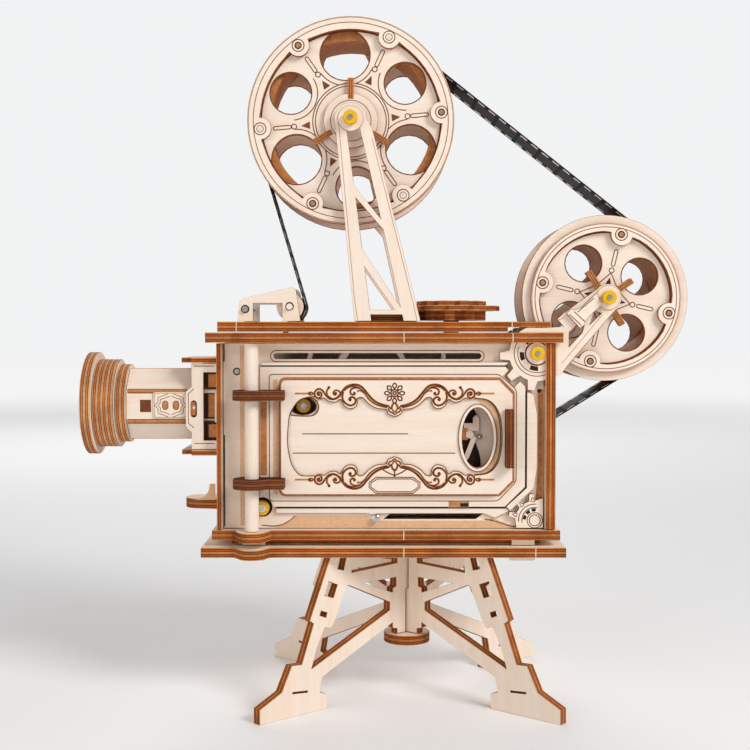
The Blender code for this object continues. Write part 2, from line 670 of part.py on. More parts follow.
def make_straps(hinge):
    """Two hinge straps, flat plates that turn on the post and carry the door sheet."""
    door_front = -PANEL_OUTER - SHEET - 2 * GAP - POST_Y
    raised_front = door_front - SHEET - GAP
    raised_left = DOOR_LEFT + DOOR_PANEL_LEFT_RIM - GAP - POST_X
    ends = arc((0, 0), STRAP_RADIUS, math.radians(75), math.radians(330), 19)
    outline = ends + [(STRAP_REACH, -STRAP_RADIUS * 0.5), (STRAP_REACH, raised_front),
                      (raised_left, raised_front), (raised_left, door_front),
                      (DOOR_LEFT - GAP - POST_X, door_front)]
    bore = circle(POST_RADIUS + GAP, 20)
    for name, height in (("hinge_strap_lower", STRAP_HEIGHTS[0]), ("hinge_strap_upper", STRAP_HEIGHTS[1])):
        plate(name, [outline, bore], DOUBLE, "Z", (0, 0, height + DOUBLE / 2), burnt_wood(), hinge)


def make_post(root):
    """The round post that the door turns on."""
    height = CASE_TOP - CASE_BOTTOM
    profile = [(0.0, height), (POST_RADIUS, height), (POST_RADIUS, 0.0), (0.0, 0.0)]
    turned("hinge_post", profile, "Z", (POST_X, POST_Y, CASE_BOTTOM), pale_wood(), root, 24)


def make_lens(root):
    """The sliding barrel with its three rings and the glass."""
    slide = empty("lens_slide", (CASE_LEFT, FILM_Y, LENS_Z), root)
    bore = circle(BARREL_BORE, 32)
    front = -BARREL_FRONT
    length = BARREL_FRONT + SHEET + BARREL_TAIL
    plate("lens_barrel", [octagon(BARREL_HALF_WIDTH), bore], length, "X",
          (front + length / 2, 0, 0), pale_wood(), slide)
    rear = front - RING_GAP - DOUBLE / 2
    plate("lens_rear_ring", [circle(REAR_RING_RADIUS, 48), bore], DOUBLE, "X",
          (rear, 0, 0), pale_wood(), slide)
    middle = rear - DOUBLE / 2 - RING_GAP - MIDDLE_RING_LENGTH / 2
    plate("lens_middle_ring", [circle(MIDDLE_RING_RADIUS, 48), bore], MIDDLE_RING_LENGTH, "X",
          (middle, 0, 0), pale_wood(), slide)
    first = middle - MIDDLE_RING_LENGTH / 2 - RING_GAP - DOUBLE / 2
    plate("lens_front_ring", [circle(FRONT_RING_RADIUS, 56), bore], DOUBLE, "X",
          (first, 0, 0), pale_wood(), slide)
    radius = BARREL_BORE - GAP
    edge = 0.25 * GLASS_THICKNESS
    bulge = [(radius * i / 6, edge + (GLASS_THICKNESS / 2 - edge) * (1 - (i / 6) ** 2)) for i in range(7)]
    profile = bulge + [(r, -h) for r, h in reversed(bulge)]
    turned("lens_glass", profile, "X", (middle, 0, 0), clear_glass(), slide, 32)


def make_bracket(root):
    """The four plates that hold the barrel in front of the lens wall, and the shelf below."""
    wall = CASE_LEFT - GAP
    half = BRACKET_HALF_HEIGHT
    tip = wall - BRACKET_REACH
    nose = tip - 2.2 * MM
    inner = wall - 5.3 * MM
    outline = [
        (wall, LENS_Z + half - 1.0 * MM), (tip, LENS_Z + half - 1.0 * MM), (tip, LENS_Z + 7.0 * MM),
        (nose, LENS_Z + 5.1 * MM), (nose, LENS_Z - 8.3 * MM), (tip, LENS_Z - 10.5 * MM),
        (tip, LENS_Z - half), (wall, LENS_Z - half), (wall, LENS_Z - half + 3.4 * MM),
        (inner, LENS_Z - half + 3.4 * MM), (inner, LENS_Z + half - 4.4 * MM), (wall, LENS_Z + half - 4.4 * MM)]
    window = slot(LENS_Z - 4.7 * MM, tip - 0.3 * MM, LENS_Z + 1.8 * MM, tip + 2.0 * MM, 5)
    window = [(x, z) for z, x in window]
    side = BARREL_HALF_WIDTH + 2 * GAP + SHEET / 2
    for name, sign in (("lens_bracket_near", -1), ("lens_bracket_far", 1)):
        plate(name, [outline, window], SHEET, "Y", (0, FILM_Y + sign * side, 0), pale_wood(), root)
    reach = side + SHEET / 2 + 2.0 * MM
    step = FILM_Y - reach + BRACKET_STEP_DEPTH
    top = [(wall, FILM_Y - reach), (wall, FILM_Y + reach), (wall - BRACKET_TOP_REACH, FILM_Y + reach),
           (wall - BRACKET_TOP_REACH, step), (wall - BRACKET_STEP_REACH, step),
           (wall - BRACKET_STEP_REACH, FILM_Y - reach)]
    plate("lens_bracket_top", [top], SHEET, "Z",
          (0, 0, LENS_Z + half - 1.0 * MM + GAP + SHEET / 2), pale_wood(), root)
    plate("lens_bracket_bottom", [top], SHEET, "Z", (0, 0, LENS_Z - half - GAP - SHEET / 2), pale_wood(), root)
    round_end = arc((wall - SHELF_REACH / 2, FILM_Y), SHELF_REACH / 2 + 2.0 * MM,
                    math.radians(125), math.radians(235), 13)
    shelf = round_end + [(wall, FILM_Y - 9.0 * MM), (wall, FILM_Y + 9.0 * MM)]
    plate("lens_shelf", [shelf], DOUBLE, "Z", (0, 0, CASE_BOTTOM + SHELF_HEIGHT + DOUBLE / 2), pale_wood(), root)


def reel_disc(radius, hole_circle, hole_radii, first_angle):
    """Outline and holes of a reel's side disc."""
    count = len(hole_radii)
    loops = [circle(radius, 64), circle(AXLE_RADIUS + GAP, 16)]
    for i, hole in enumerate(hole_radii):
        angle = first_angle + 2 * math.pi * i / count
        centre = (hole_circle * math.cos(angle), hole_circle * math.sin(angle))
        loops.append(circle(hole, 20, centre))
    return loops


def lobed_ring(outer, width, lobes, first_angle, lobe_circle):
    """A rim ring with round lobes on its inner side."""
    inner = outer - width
    points = []
    spread = 2 * math.asin(LOBE_RADIUS / (2 * inner)) * 0.98
    for i in range(lobes):
        angle = first_angle + 2 * math.pi * i / lobes
        following = angle + 2 * math.pi / lobes
        centre = (lobe_circle * math.cos(angle), lobe_circle * math.sin(angle))
        points += arc(centre, LOBE_RADIUS, angle + 1.62 * math.pi, angle + 0.38 * math.pi, 11)[1:-1]
        points += arc((0, 0), inner, angle + 1.75 * spread, following - 1.75 * spread, 9)
    return [circle(outer, 64), points]


def make_upper_reel(root):
    """The upper reel: two discs, the rim ring and the drum between the discs."""
    spin = empty("upper_reel_spin", (UPPER_REEL_X, FILM_Y, UPPER_REEL_Z), root)
    radii = UPPER_HOLE_RADII * 3
    loops = reel_disc(UPPER_REEL_RADIUS, UPPER_HOLE_CIRCLE, radii, math.radians(-25))
    for name, sign in (("upper_reel_front_disc", -1), ("upper_reel_rear_disc", 1)):
        plate(name, loops, SHEET, "Y", (0, sign * (DISC_INNER + SHEET / 2), 0), pale_wood(), spin)
    ring = lobed_ring(UPPER_REEL_RADIUS, UPPER_RIM_WIDTH, 6, math.radians(5), UPPER_REEL_RADIUS - 4.8 * MM)
    plate("upper_reel_rim_ring", ring, SHEET, "Y", (0, -(DISC_INNER + 1.5 * SHEET + GAP), 0), pale_wood(), spin)
    drum_loops = [circle(UPPER_DRUM_RADIUS, 64), circle(UPPER_DRUM_RADIUS - UPPER_DRUM_WALL, 48)]
    plate("upper_reel_drum", drum_loops, 2 * (DISC_INNER - GAP), "Y", (0, 0, 0), burnt_wood(), spin)


def make_rear_reel(root):
    """The rear reel, smaller, with four holes in each disc."""
    spin = empty("rear_reel_spin", (REAR_REEL_X, FILM_Y, REAR_REEL_Z), root)
    radii = (REAR_HOLE_RADIUS,) * 4
    loops = reel_disc(REAR_REEL_RADIUS, REAR_HOLE_CIRCLE, radii, math.radians(32))
    for name, sign in (("rear_reel_front_disc", -1), ("rear_reel_rear_disc", 1)):
        plate(name, loops, SHEET, "Y", (0, sign * (DISC_INNER + SHEET / 2), 0), pale_wood(), spin)
    ring = lobed_ring(REAR_RIM_OUTER, REAR_RIM_WIDTH, 4, math.radians(76), REAR_RIM_OUTER - 3.8 * MM)
    plate("rear_reel_rim_ring", ring, SHEET, "Y", (0, -(DISC_INNER + 1.5 * SHEET + GAP), 0), pale_wood(), spin)
    drum_loops = [circle(REAR_DRUM_RADIUS, 56), circle(REAR_DRUM_RADIUS - REAR_DRUM_WALL, 40)]
    plate("rear_reel_drum", drum_loops, 2 * (DISC_INNER - GAP), "Y", (0, 0, 0), burnt_wood(), spin)


def strut_outline():
    """The tall two legged frame that holds the upper reel's axle, with its two braces."""
    foot = COVER_TOP + GAP
    head = (UPPER_REEL_X, UPPER_REEL_Z)
    height = UPPER_REEL_Z - foot

    def blend(top, bottom, share):
        return top * (1 - share) + bottom * share

    def left(share, inside=True):
        x = blend(UPPER_REEL_X - STRUT_HEAD_RADIUS, STRUT_FOOT_LEFT, share)
        return (x + inside * blend(STRUT_TOP_WIDTH, STRUT_FOOT_WIDTH, share), UPPER_REEL_Z - share * height)

    def right(share, inside=True):
        x = blend(UPPER_REEL_X + STRUT_SHOULDER, STRUT_FOOT_RIGHT, share)
        return (x - inside * blend(STRUT_TOP_WIDTH, STRUT_FOOT_WIDTH, share), UPPER_REEL_Z - share * height)

    sill = 1 - STRUT_SILL / height
    low = 1 - (STRUT_SILL + STRUT_SILL_WIDTH) / height
    outline = arc(head, STRUT_HEAD_RADIUS, 0.0, math.pi, 15) + [
        left(1, False), left(1), left(sill), right(sill), right(1), right(1, False), right(0.047, False)]
    under_hub = arc(head, STRUT_HEAD_RADIUS - SHEET, math.radians(-38), math.radians(-113), 7)
    upper = under_hub + [left(0.33), right(0.496)]
    middle = [left(0.388), left(0.642), right(0.93), right(0.547)]
    corner = right(low)
    lower = [left(0.729), left(low), (corner[0] - 2.4 * MM, corner[1])]
    bore = circle(AXLE_RADIUS + GAP, 16, head)
    return [outline, upper, middle, lower, bore]


def make_upper_stand(root):
    """Near and far frames of the upper reel, the foot plate between them, and the axle."""
    for name, sign in (("upper_stand_near", -1), ("upper_stand_far", 1)):
        plate(name, strut_outline(), SHEET, "Y", (0, FILM_Y + sign * STRUT_MIDDLE, 0), pale_wood(), root)
    foot = COVER_TOP + GAP
    reach = STRUT_OFFSET - GAP
    outline = rectangle(STRUT_FOOT_LEFT, FILM_Y - reach, STRUT_FOOT_RIGHT - 2.0 * MM, FILM_Y + reach)
    plate("upper_stand_foot", [outline], DOUBLE, "Z", (0, 0, foot + DOUBLE / 2), burnt_wood(), root)
    reel_axle("upper_reel_axle", UPPER_REEL_X, UPPER_REEL_Z, root)


def reel_axle(name, x, z, root):
    """A steel axle with a collar outside each frame."""
    face = STRUT_OFFSET + SHEET + GAP
    collar = face + 4.0 * MM
    end = collar + 0.7 * MM
    wide = AXLE_RADIUS + 1.15 * MM
    profile = [(0.0, end), (AXLE_RADIUS, end), (AXLE_RADIUS, collar), (wide, collar), (wide, face),
               (AXLE_RADIUS, face), (AXLE_RADIUS, -face), (wide, -face), (wide, -collar),
               (AXLE_RADIUS, -collar), (AXLE_RADIUS, -end), (0.0, -end)]
    turned(name, profile, "Y", (x, FILM_Y, z), steel(), root, 16)


def cog_edge(centre, first, last, tooth_angles):
    """Rim of the arm's cog from one angle to another, with its square teeth."""
    points = []
    angle = first
    for tooth in sorted(tooth_angles):
        start, stop = tooth - math.radians(10.5), tooth + math.radians(10.5)
        points += arc(centre, COG_RADIUS, angle, start, 5)
        for radius, turn in ((COG_TIP, -0.094), (COG_TIP, 0.094)):
            at = tooth + turn
            points.append((centre[0] + radius * math.cos(at), centre[1] + radius * math.sin(at)))
        points.append((centre[0] + COG_RADIUS * math.cos(stop), centre[1] + COG_RADIUS * math.sin(stop)))
        angle = stop + math.radians(1)
    points += arc(centre, COG_RADIUS, angle, last, 6)
    return points


def arm_outline():
    """The rear reel's arm: a cog end inside the case, two bars and a brace, and the reel's hub."""
    pivot = (PIVOT_X, PIVOT_Z)
    hub = (REAR_REEL_X, REAR_REEL_Z)
    clip = COVER_STEP + SHEET - GAP
    first = math.pi - math.asin((clip - PIVOT_Z) / COG_RADIUS)
    teeth = [math.radians(a) for a in (184, 222, 261)]
    outside = CASE_RIGHT + PLATE_OVERHANG + 1.2 * MM
    rim = cog_edge(pivot, first, math.radians(308), teeth)
    lower_end = [(CASE_RIGHT + 2.0 * MM, PIVOT_Z - 8.1 * MM), (CASE_RIGHT + 5.4 * MM, PIVOT_Z - 3.4 * MM)]
    head = arc(hub, ARM_HEAD_RADIUS, math.radians(-48), math.radians(142), 13)
    upper_bar = [(CASE_RIGHT + 2.9 * MM, COVER_TOP + 3.1 * MM), (CASE_RIGHT + 0.6 * MM, COVER_TOP + 1.0 * MM),
                 (outside, COVER_TOP - 1.9 * MM),
                 (PIVOT_X + COG_RADIUS * math.cos(math.pi - first), clip)]
    outline = rim + lower_end + head + upper_bar
    strut = outside + 1.9 * MM
    large = [(strut, PIVOT_Z + 2.3 * MM), (strut, COVER_TOP - 3.9 * MM),
             (hub[0] - 8.0 * MM, hub[1] - 7.0 * MM), (hub[0] - 9.6 * MM, hub[1] - 13.3 * MM)]
    small = [(hub[0] - 6.9 * MM, hub[1] - 10.4 * MM), (hub[0] - 5.1 * MM, hub[1] - 5.0 * MM),
             (hub[0] - 2.3 * MM, hub[1] - 5.9 * MM)]
    bore = circle(AXLE_RADIUS + GAP, 16, hub)
    pivot_bore = circle(AXLE_RADIUS + GAP, 16, pivot)
    return [outline, large, small, bore, pivot_bore]


def make_rear_arm(root):
    """Near and far arms of the rear reel, its axle, and the pivot through both cog ends."""
    for name, sign in (("rear_arm_near", -1), ("rear_arm_far", 1)):
        plate(name, arm_outline(), SHEET, "Y", (0, FILM_Y + sign * STRUT_MIDDLE, 0), pale_wood(), root)
    reel_axle("rear_reel_axle", REAR_REEL_X, REAR_REEL_Z, root)
    face = STRUT_OFFSET + SHEET + GAP
    collar = face + 3.0 * MM
    wide = AXLE_RADIUS + 1.15 * MM
    end = collar + 0.6 * MM
    far = -(STRUT_OFFSET + SHEET + 0.4 * MM)
    profile = [(0.0, end), (AXLE_RADIUS, end), (AXLE_RADIUS, collar), (wide, collar), (wide, face),
               (AXLE_RADIUS, face), (AXLE_RADIUS, far), (0.0, far)]
    turned("rear_arm_pivot", profile, "Y", (PIVOT_X, FILM_Y, PIVOT_Z), steel(), root, 16)


def idler_place():
    """Centre of the idler gear, in mesh with the drive gear and with the shutter's pinion."""
    first = Vector((CRANK_X, CRANK_Z))
    second = Vector((SHUTTER_X, SHUTTER_Z))
    near = GEAR_MODULE * (DRIVE_TEETH + IDLER_TEETH) / 2
    far = GEAR_MODULE * (SHUTTER_TEETH + IDLER_TEETH) / 2
    line = second - first
    along = (near ** 2 - far ** 2 + line.length_squared) / (2 * line.length)
    side = math.sqrt(near ** 2 - along ** 2)
    unit = line.normalized()
    return tuple(first + unit * along + Vector((-unit.y, unit.x)) * side)


def heading(start, end):
    """Angle of the line from one centre to another."""
    return math.atan2(end[1] - start[1], end[0] - start[0])


def meshing_phase(teeth, phase, other_teeth, angle):
    """Phase of the gear that meshes at an angle from a gear with a given phase."""
    place = (angle - phase) * teeth / (2 * math.pi)
    return angle + math.pi - (0.5 - place) * 2 * math.pi / other_teeth


def make_crank(root):
    """The crank's axle, arm and grip, with the drive gear and the film's feed drum."""
    spin = empty("crank_turn", (CRANK_X, 0, CRANK_Z), root)
    near = FILM_Y - DISC_INNER - SHEET - 0.6 * MM
    turned("crank_axle", rod_profile(AXLE_RADIUS, near, CRANK_ARM_Y + DOUBLE - 0.2 * MM), "Y",
           (0, 0, 0), steel(), spin, 20)
    phase = heading((CRANK_X, CRANK_Z), idler_place())
    web = [circle(5.2 * MM, 14, (15.5 * MM * math.cos(a), 15.5 * MM * math.sin(a)))
           for a in [math.pi / 3 * i for i in range(6)]]
    bore = circle(AXLE_RADIUS + GAP, 16)
    plate("drive_gear", [gear(DRIVE_TEETH, phase), bore] + web, DOUBLE, "Y",
          (0, (GEAR_NEAR + GEAR_FAR) / 2, 0), pale_wood(), spin)
    make_feed_drum(spin)
    end = (CRANK_THROW * math.cos(CRANK_REST_ANGLE), CRANK_THROW * math.sin(CRANK_REST_ANGLE))
    side = CRANK_REST_ANGLE + math.pi / 2
    outline = (arc((0, 0), CRANK_HUB_RADIUS, side, side + math.pi, 11)
               + arc(end, CRANK_END_RADIUS, side + math.pi, side + 2 * math.pi, 11))
    plate("crank_arm", [outline, bore, circle(AXLE_RADIUS + GAP, 16, end)], DOUBLE, "Y",
          (0, CRANK_ARM_Y + DOUBLE / 2, 0), pale_wood(), spin)
    make_grip(spin, end)


def make_feed_drum(spin):
    """The drum that pulls the film, with a flange beyond each of the film's edges."""
    half = FILM_WIDTH / 2 + FILM_SIDE_GAP
    flange = half + SHEET
    bore = AXLE_RADIUS + GAP
    tall = FEED_DRUM_RADIUS + 1.8 * MM
    profile = [(bore, flange), (tall, flange), (tall, half), (FEED_DRUM_RADIUS, half),
               (FEED_DRUM_RADIUS, -half), (tall, -half), (tall, -flange), (bore, -flange)]
    turned("feed_drum", profile, "Y", (0, FILM_Y, 0), pale_wood(), spin, 40)


def make_grip(spin, end):
    """The grip, turned in one with its pin, which spins in the crank arm."""
    grip = empty("grip_spin", (end[0], CRANK_ARM_Y, end[1]), spin)
    start = DOUBLE + GAP
    stations = ((0.0, 0.74), (0.12, 0.96), (0.45, 0.80), (0.8, 1.0), (0.94, 0.82), (1.0, 0.45))
    body = [(GRIP_RADIUS * width, -(start + GRIP_LENGTH * share)) for share, width in stations]
    profile = [(0.0, 1.2 * MM), (AXLE_RADIUS, 1.2 * MM), (AXLE_RADIUS, -start)] + body
    profile.append((0.0, -(start + GRIP_LENGTH)))
    turned("crank_grip", profile, "Y", (0, 0, 0), pale_wood(), grip, 24)


def make_gear_train(root):
    """The idler on its axle and the drum shutter with its pinion."""
    idler = idler_place()
    middle = (GEAR_NEAR + GEAR_FAR) / 2
    crank_phase = heading((CRANK_X, CRANK_Z), idler)
    idler_phase = meshing_phase(DRIVE_TEETH, crank_phase, IDLER_TEETH, crank_phase)
    spin = empty("idler_spin", (idler[0], middle, idler[1]), root)
    body = plate("idler_gear", [gear(IDLER_TEETH, idler_phase)], DOUBLE, "Y", (0, 0, 0), pale_wood(), spin)
    axle = turned("idler_axle", rod_profile(AXLE_RADIUS, CHASSIS_NEAR - 0.5 * MM - middle,
                                            PANEL_OUTER + 0.8 * MM - middle),
                  "Y", (0, 0, 0), steel(), spin, 16, True)
    combine(body, [axle], "UNION")
    shutter = (SHUTTER_X, SHUTTER_Z)
    towards = heading(idler, shutter)
    phase = meshing_phase(IDLER_TEETH, idler_phase, SHUTTER_TEETH, towards)
    make_shutter(root, phase, middle)


def make_shutter(root, phase, gear_middle):
    """The drum shutter: an axle with its pinion, an end disc and two curved blades."""
    spin = empty("shutter_spin", (SHUTTER_X, 0, SHUTTER_Z), root)
    near = -PANEL_OUTER + 0.5 * MM
    wide = AXLE_RADIUS + 1.15 * MM
    profile = [(0.0, -near), (AXLE_RADIUS, -near), (AXLE_RADIUS, -near - 0.6 * MM), (wide, -near - 0.6 * MM),
               (wide, -near - 3.0 * MM), (AXLE_RADIUS, -near - 3.0 * MM),
               (AXLE_RADIUS, -(PANEL_OUTER + 0.8 * MM)), (0.0, -(PANEL_OUTER + 0.8 * MM))]
    body = turned("shutter_drum", profile, "Y", (0, 0, 0), pale_wood(), spin, 16)
    pinion = plate("shutter_pinion", [gear(SHUTTER_TEETH, phase)], DOUBLE, "Y",
                   (0, gear_middle, 0), pale_wood(), spin, True)
    disc_y = FILM_Y + FILM_WIDTH / 2
    disc = plate("shutter_disc", [circle(SHUTTER_RADIUS, 32)], SHEET, "Y",
                 (0, disc_y, 0), pale_wood(), spin, True)
    helpers = [pinion, disc]
    for i in range(2):
        start = math.pi * i + math.radians(55)
        stop = start + math.radians(70)
        blade = (arc((0, 0), SHUTTER_RADIUS - 0.1 * MM, start, stop, 9)
                 + arc((0, 0), SHUTTER_RADIUS - 1.5 * MM, stop, start, 9))
        helpers.append(plate(f"shutter_blade_{i}", [blade], FILM_WIDTH - MM, "Y",
                             (0, FILM_Y + MM, 0), pale_wood(), spin, True))
    combine(body, helpers, "UNION")


def make_rollers(root):
    """The lower roller, the gate with its pin, and the guide with its roller on the cover."""
    half = FILM_WIDTH / 2 + FILM_SIDE_GAP
    low = empty("lower_roller_spin", (LOWER_ROLLER_X, FILM_Y, LOWER_ROLLER_Z), root)
    face = PANEL_OUTER + GAP + FILM_Y
    collar = face + 3.0 * MM
    end = collar + 0.6 * MM
    tail = CHASSIS_NEAR + SHEET + 1.0 * MM - FILM_Y
    flange = LOWER_ROLLER_RADIUS + 1.0 * MM
    wide = AXLE_RADIUS + 1.15 * MM
    profile = [(0.0, end), (AXLE_RADIUS, end), (AXLE_RADIUS, collar), (wide, collar), (wide, face),
               (AXLE_RADIUS, face), (AXLE_RADIUS, half + SHEET), (flange, half + SHEET), (flange, half),
               (LOWER_ROLLER_RADIUS, half), (LOWER_ROLLER_RADIUS, -half), (flange, -half),
               (flange, -half - 0.9 * MM), (AXLE_RADIUS, -half - 0.9 * MM), (AXLE_RADIUS, -tail), (0.0, -tail)]
    turned("lower_roller", profile, "Y", (0, 0, 0), pale_wood(), low, 24)
    gate_x = GATE_PIN_X - GATE_PIN_RADIUS - 2 * GAP - FILM_THICKNESS - SHEET / 2 - GAP
    sides = rectangle(FILM_Y - half, LENS_Z - GATE_FOOT, CHASSIS_NEAR - GAP, LENS_Z + GATE_HEAD)
    aperture = rectangle(FILM_Y - 7.0 * MM, LENS_Z - 5.0 * MM, FILM_Y + 7.0 * MM, LENS_Z + 5.0 * MM)
    plate("film_gate", [sides, aperture], SHEET, "X", (gate_x, 0, 0), pale_wood(), root)
    make_guide(root)


def make_guide(root):
    """The film guide on the cover: two plates, a plain pin and the guide roller."""
    inner = FILM_WIDTH / 2 + 2 * FILM_SIDE_GAP
    foot = COVER_TOP + GAP
    left = GUIDE_PIN_X - 2.9 * MM
    right = left + GUIDE_LENGTH
    outline = [(left, foot), (left + 5.9 * MM, foot), (left + 5.9 * MM, foot + 6.9 * MM),
               (right - 6.8 * MM, foot + 6.9 * MM), (right - 6.8 * MM, foot), (right, foot),
               (right - 1.6 * MM, foot + GUIDE_HEIGHT - 1.4 * MM), (right - 3.0 * MM, foot + GUIDE_HEIGHT),
               (left + 2.2 * MM, foot + GUIDE_HEIGHT - 4.2 * MM), (left + 0.6 * MM, foot + GUIDE_HEIGHT - 5.8 * MM)]
    pin_z = foot + 4.6 * MM
    hole = PIN_RADIUS + GAP
    loops = [outline, circle(hole, 14, (GUIDE_PIN_X, pin_z)), circle(hole, 14, (GUIDE_ROLLER_X, GUIDE_ROLLER_Z))]
    for name, sign in (("guide_near", -1), ("guide_far", 1)):
        plate(name, loops, SHEET, "Y", (0, FILM_Y + sign * (inner + SHEET / 2), 0), pale_wood(), root)
    end = inner + SHEET + 1.2 * MM
    turned("guide_pin", rod_profile(PIN_RADIUS, -end, end), "Y", (GUIDE_PIN_X, FILM_Y, pin_z), steel(), root, 14)
    spin = empty("guide_roller_spin", (GUIDE_ROLLER_X, FILM_Y, GUIDE_ROLLER_Z), root)
    width = inner - GAP
    profile = [(0.0, end), (PIN_RADIUS, end), (PIN_RADIUS, width), (GUIDE_ROLLER_RADIUS, width),
               (GUIDE_ROLLER_RADIUS, -width), (PIN_RADIUS, -width), (PIN_RADIUS, -end), (0.0, -end)]
    turned("guide_roller", profile, "Y", (0, 0, 0), pale_wood(), spin, 24)


def make_knob(root):
    """The stack of three cog plates on the cover, with the stem that it turns on."""
    spin = empty("knob_turn", (KNOB_X, FILM_Y, COVER_TOP), root)
    small, large = KNOB_SMALL_RADIUS, KNOB_RADIUS
    depth = 2.6 * MM
    overlap = 0.2 * MM
    level = 2 * GAP
    body = plate("cog_knob", [cog(12, large - depth, large, 0.6, 0.7)], SHEET, "Z",
                 (0, 0, level + DOUBLE + SHEET / 2), pale_wood(), spin)
    lower = plate("knob_lower", [cog(10, small - depth, small, 0.6, 0.7, 0.2)], DOUBLE + overlap, "Z",
                  (0, 0, level + (DOUBLE + overlap) / 2), pale_wood(), spin, True)
    upper = plate("knob_upper", [cog(10, small - depth, small, 0.6, 0.7)], SHEET + overlap, "Z",
                  (0, 0, level + DOUBLE + 1.5 * SHEET - overlap / 2), pale_wood(), spin, True)
    depth_below = COVER_TOP - COVER_BOTTOM + 1.0 * MM
    stem = turned("knob_stem", [(0.0, level + SHEET), (KNOB_STEM_RADIUS, level + SHEET),
                                (KNOB_STEM_RADIUS, -depth_below), (0.0, -depth_below)],
                  "Z", (0, 0, 0), pale_wood(), spin, 20, True)
    combine(body, [lower, upper, stem], "UNION")


def film_path():
    """Wheels that the film runs round, in its own order: centre, radius, and 1 where it turns clockwise."""
    half = FILM_THICKNESS / 2 + GAP
    return [
        ((UPPER_REEL_X, UPPER_REEL_Z), UPPER_DRUM_RADIUS + half, 1),
        ((REAR_REEL_X, REAR_REEL_Z), REAR_DRUM_RADIUS + half, 1),
        ((CRANK_X, CRANK_Z), FEED_DRUM_RADIUS + half, 1),
        ((LOWER_ROLLER_X, LOWER_ROLLER_Z), LOWER_ROLLER_RADIUS + half, 1),
        ((GATE_PIN_X, GATE_PIN_Z), GATE_PIN_RADIUS + half, 1),
        ((GUIDE_ROLLER_X, GUIDE_ROLLER_Z), GUIDE_ROLLER_RADIUS + half, -1),
    ]


def leaving_heading(wheel, following):
    """Heading of the straight film between two wheels."""
    (start, radius, turn), (end, other, other_turn) = wheel, following
    distance = math.hypot(end[0] - start[0], end[1] - start[1])
    return heading(start, end) - math.asin((turn * radius - other_turn * other) / distance)


def film_line(offset):
    """The closed film line, moved outwards by an offset to the film's left."""
    wheels = film_path()
    points = []
    for i, (centre, radius, turn) in enumerate(wheels):
        arriving = leaving_heading(wheels[i - 1], wheels[i])
        leaving = leaving_heading(wheels[i], wheels[(i + 1) % len(wheels)])
        start = arriving + turn * math.pi / 2
        sweep = (turn * (arriving - leaving)) % (2 * math.pi)
        count = max(3, int(math.degrees(sweep) / 7) + 2)
        reach = radius + turn * offset
        points += arc(centre, reach, start, start - turn * sweep, count)
    return points


def make_film(root):
    """The film, one closed strip on edge between the two reels and through the case."""
    half = FILM_THICKNESS / 2
    plate("film_loop", [film_line(half), film_line(-half)], FILM_WIDTH, "Y", (0, FILM_Y, 0), film_black(), root)


def main():
    """Build every sub-part of the model."""
    clear_scene()
    make_collections()
    root = empty("projector_frame", -ORIGIN)
    make_stand(root)
    make_base(root)
    make_cover(root)
    make_walls(root)
    make_post(root)
    make_door(root)
    make_lens(root)
    make_bracket(root)
    make_upper_reel(root)
    make_rear_reel(root)
    make_upper_stand(root)
    make_rear_arm(root)
    make_crank(root)
    make_gear_train(root)
    make_rollers(root)
    make_knob(root)
    make_film(root)


main()
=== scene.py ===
"""Dresses the wooden hand cranked film projector: plywood sheets, reels, film, lens and door."""

import json
import logging
import math
from dataclasses import dataclass
from enum import Enum
from typing import Callable, Iterable, Sequence

import bmesh
import bpy
from mathutils import Matrix, Vector

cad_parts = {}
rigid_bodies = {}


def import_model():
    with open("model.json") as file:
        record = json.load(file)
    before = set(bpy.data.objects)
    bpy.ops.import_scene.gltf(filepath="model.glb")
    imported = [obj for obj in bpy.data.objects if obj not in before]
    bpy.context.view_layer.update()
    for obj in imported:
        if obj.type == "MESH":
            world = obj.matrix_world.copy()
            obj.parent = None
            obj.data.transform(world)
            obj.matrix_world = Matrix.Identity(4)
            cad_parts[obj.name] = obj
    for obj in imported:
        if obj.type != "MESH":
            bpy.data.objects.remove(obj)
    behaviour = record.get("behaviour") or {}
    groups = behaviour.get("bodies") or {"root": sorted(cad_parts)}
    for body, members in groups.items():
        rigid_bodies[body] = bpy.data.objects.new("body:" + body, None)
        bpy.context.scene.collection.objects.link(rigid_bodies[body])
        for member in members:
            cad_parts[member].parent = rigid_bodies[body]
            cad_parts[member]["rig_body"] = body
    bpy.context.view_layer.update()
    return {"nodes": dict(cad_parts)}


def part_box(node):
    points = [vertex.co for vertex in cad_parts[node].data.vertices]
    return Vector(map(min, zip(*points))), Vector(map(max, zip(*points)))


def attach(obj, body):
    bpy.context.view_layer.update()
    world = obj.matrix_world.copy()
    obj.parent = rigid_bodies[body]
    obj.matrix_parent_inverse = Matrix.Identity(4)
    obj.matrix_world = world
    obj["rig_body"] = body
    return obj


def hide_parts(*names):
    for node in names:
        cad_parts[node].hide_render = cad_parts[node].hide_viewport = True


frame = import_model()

LOG = logging.getLogger("projector")

MM = 0.001
SHEET = 1.9 * MM
SHEET_EASE = 0.13 * MM
SQUARE_ON = 0.93
MERGE = 1e-6
SHIFT = Vector((9.05, -18.293, 0.0)) * MM
FILM_Y = -8.0
STAND_TURN = math.radians(41)

Point = tuple[float, float]
Colour = tuple[float, float, float]
Socket = bpy.types.NodeSocket
Material = bpy.types.Material
Piece = bpy.types.Object
Mesh = bmesh.types.BMesh

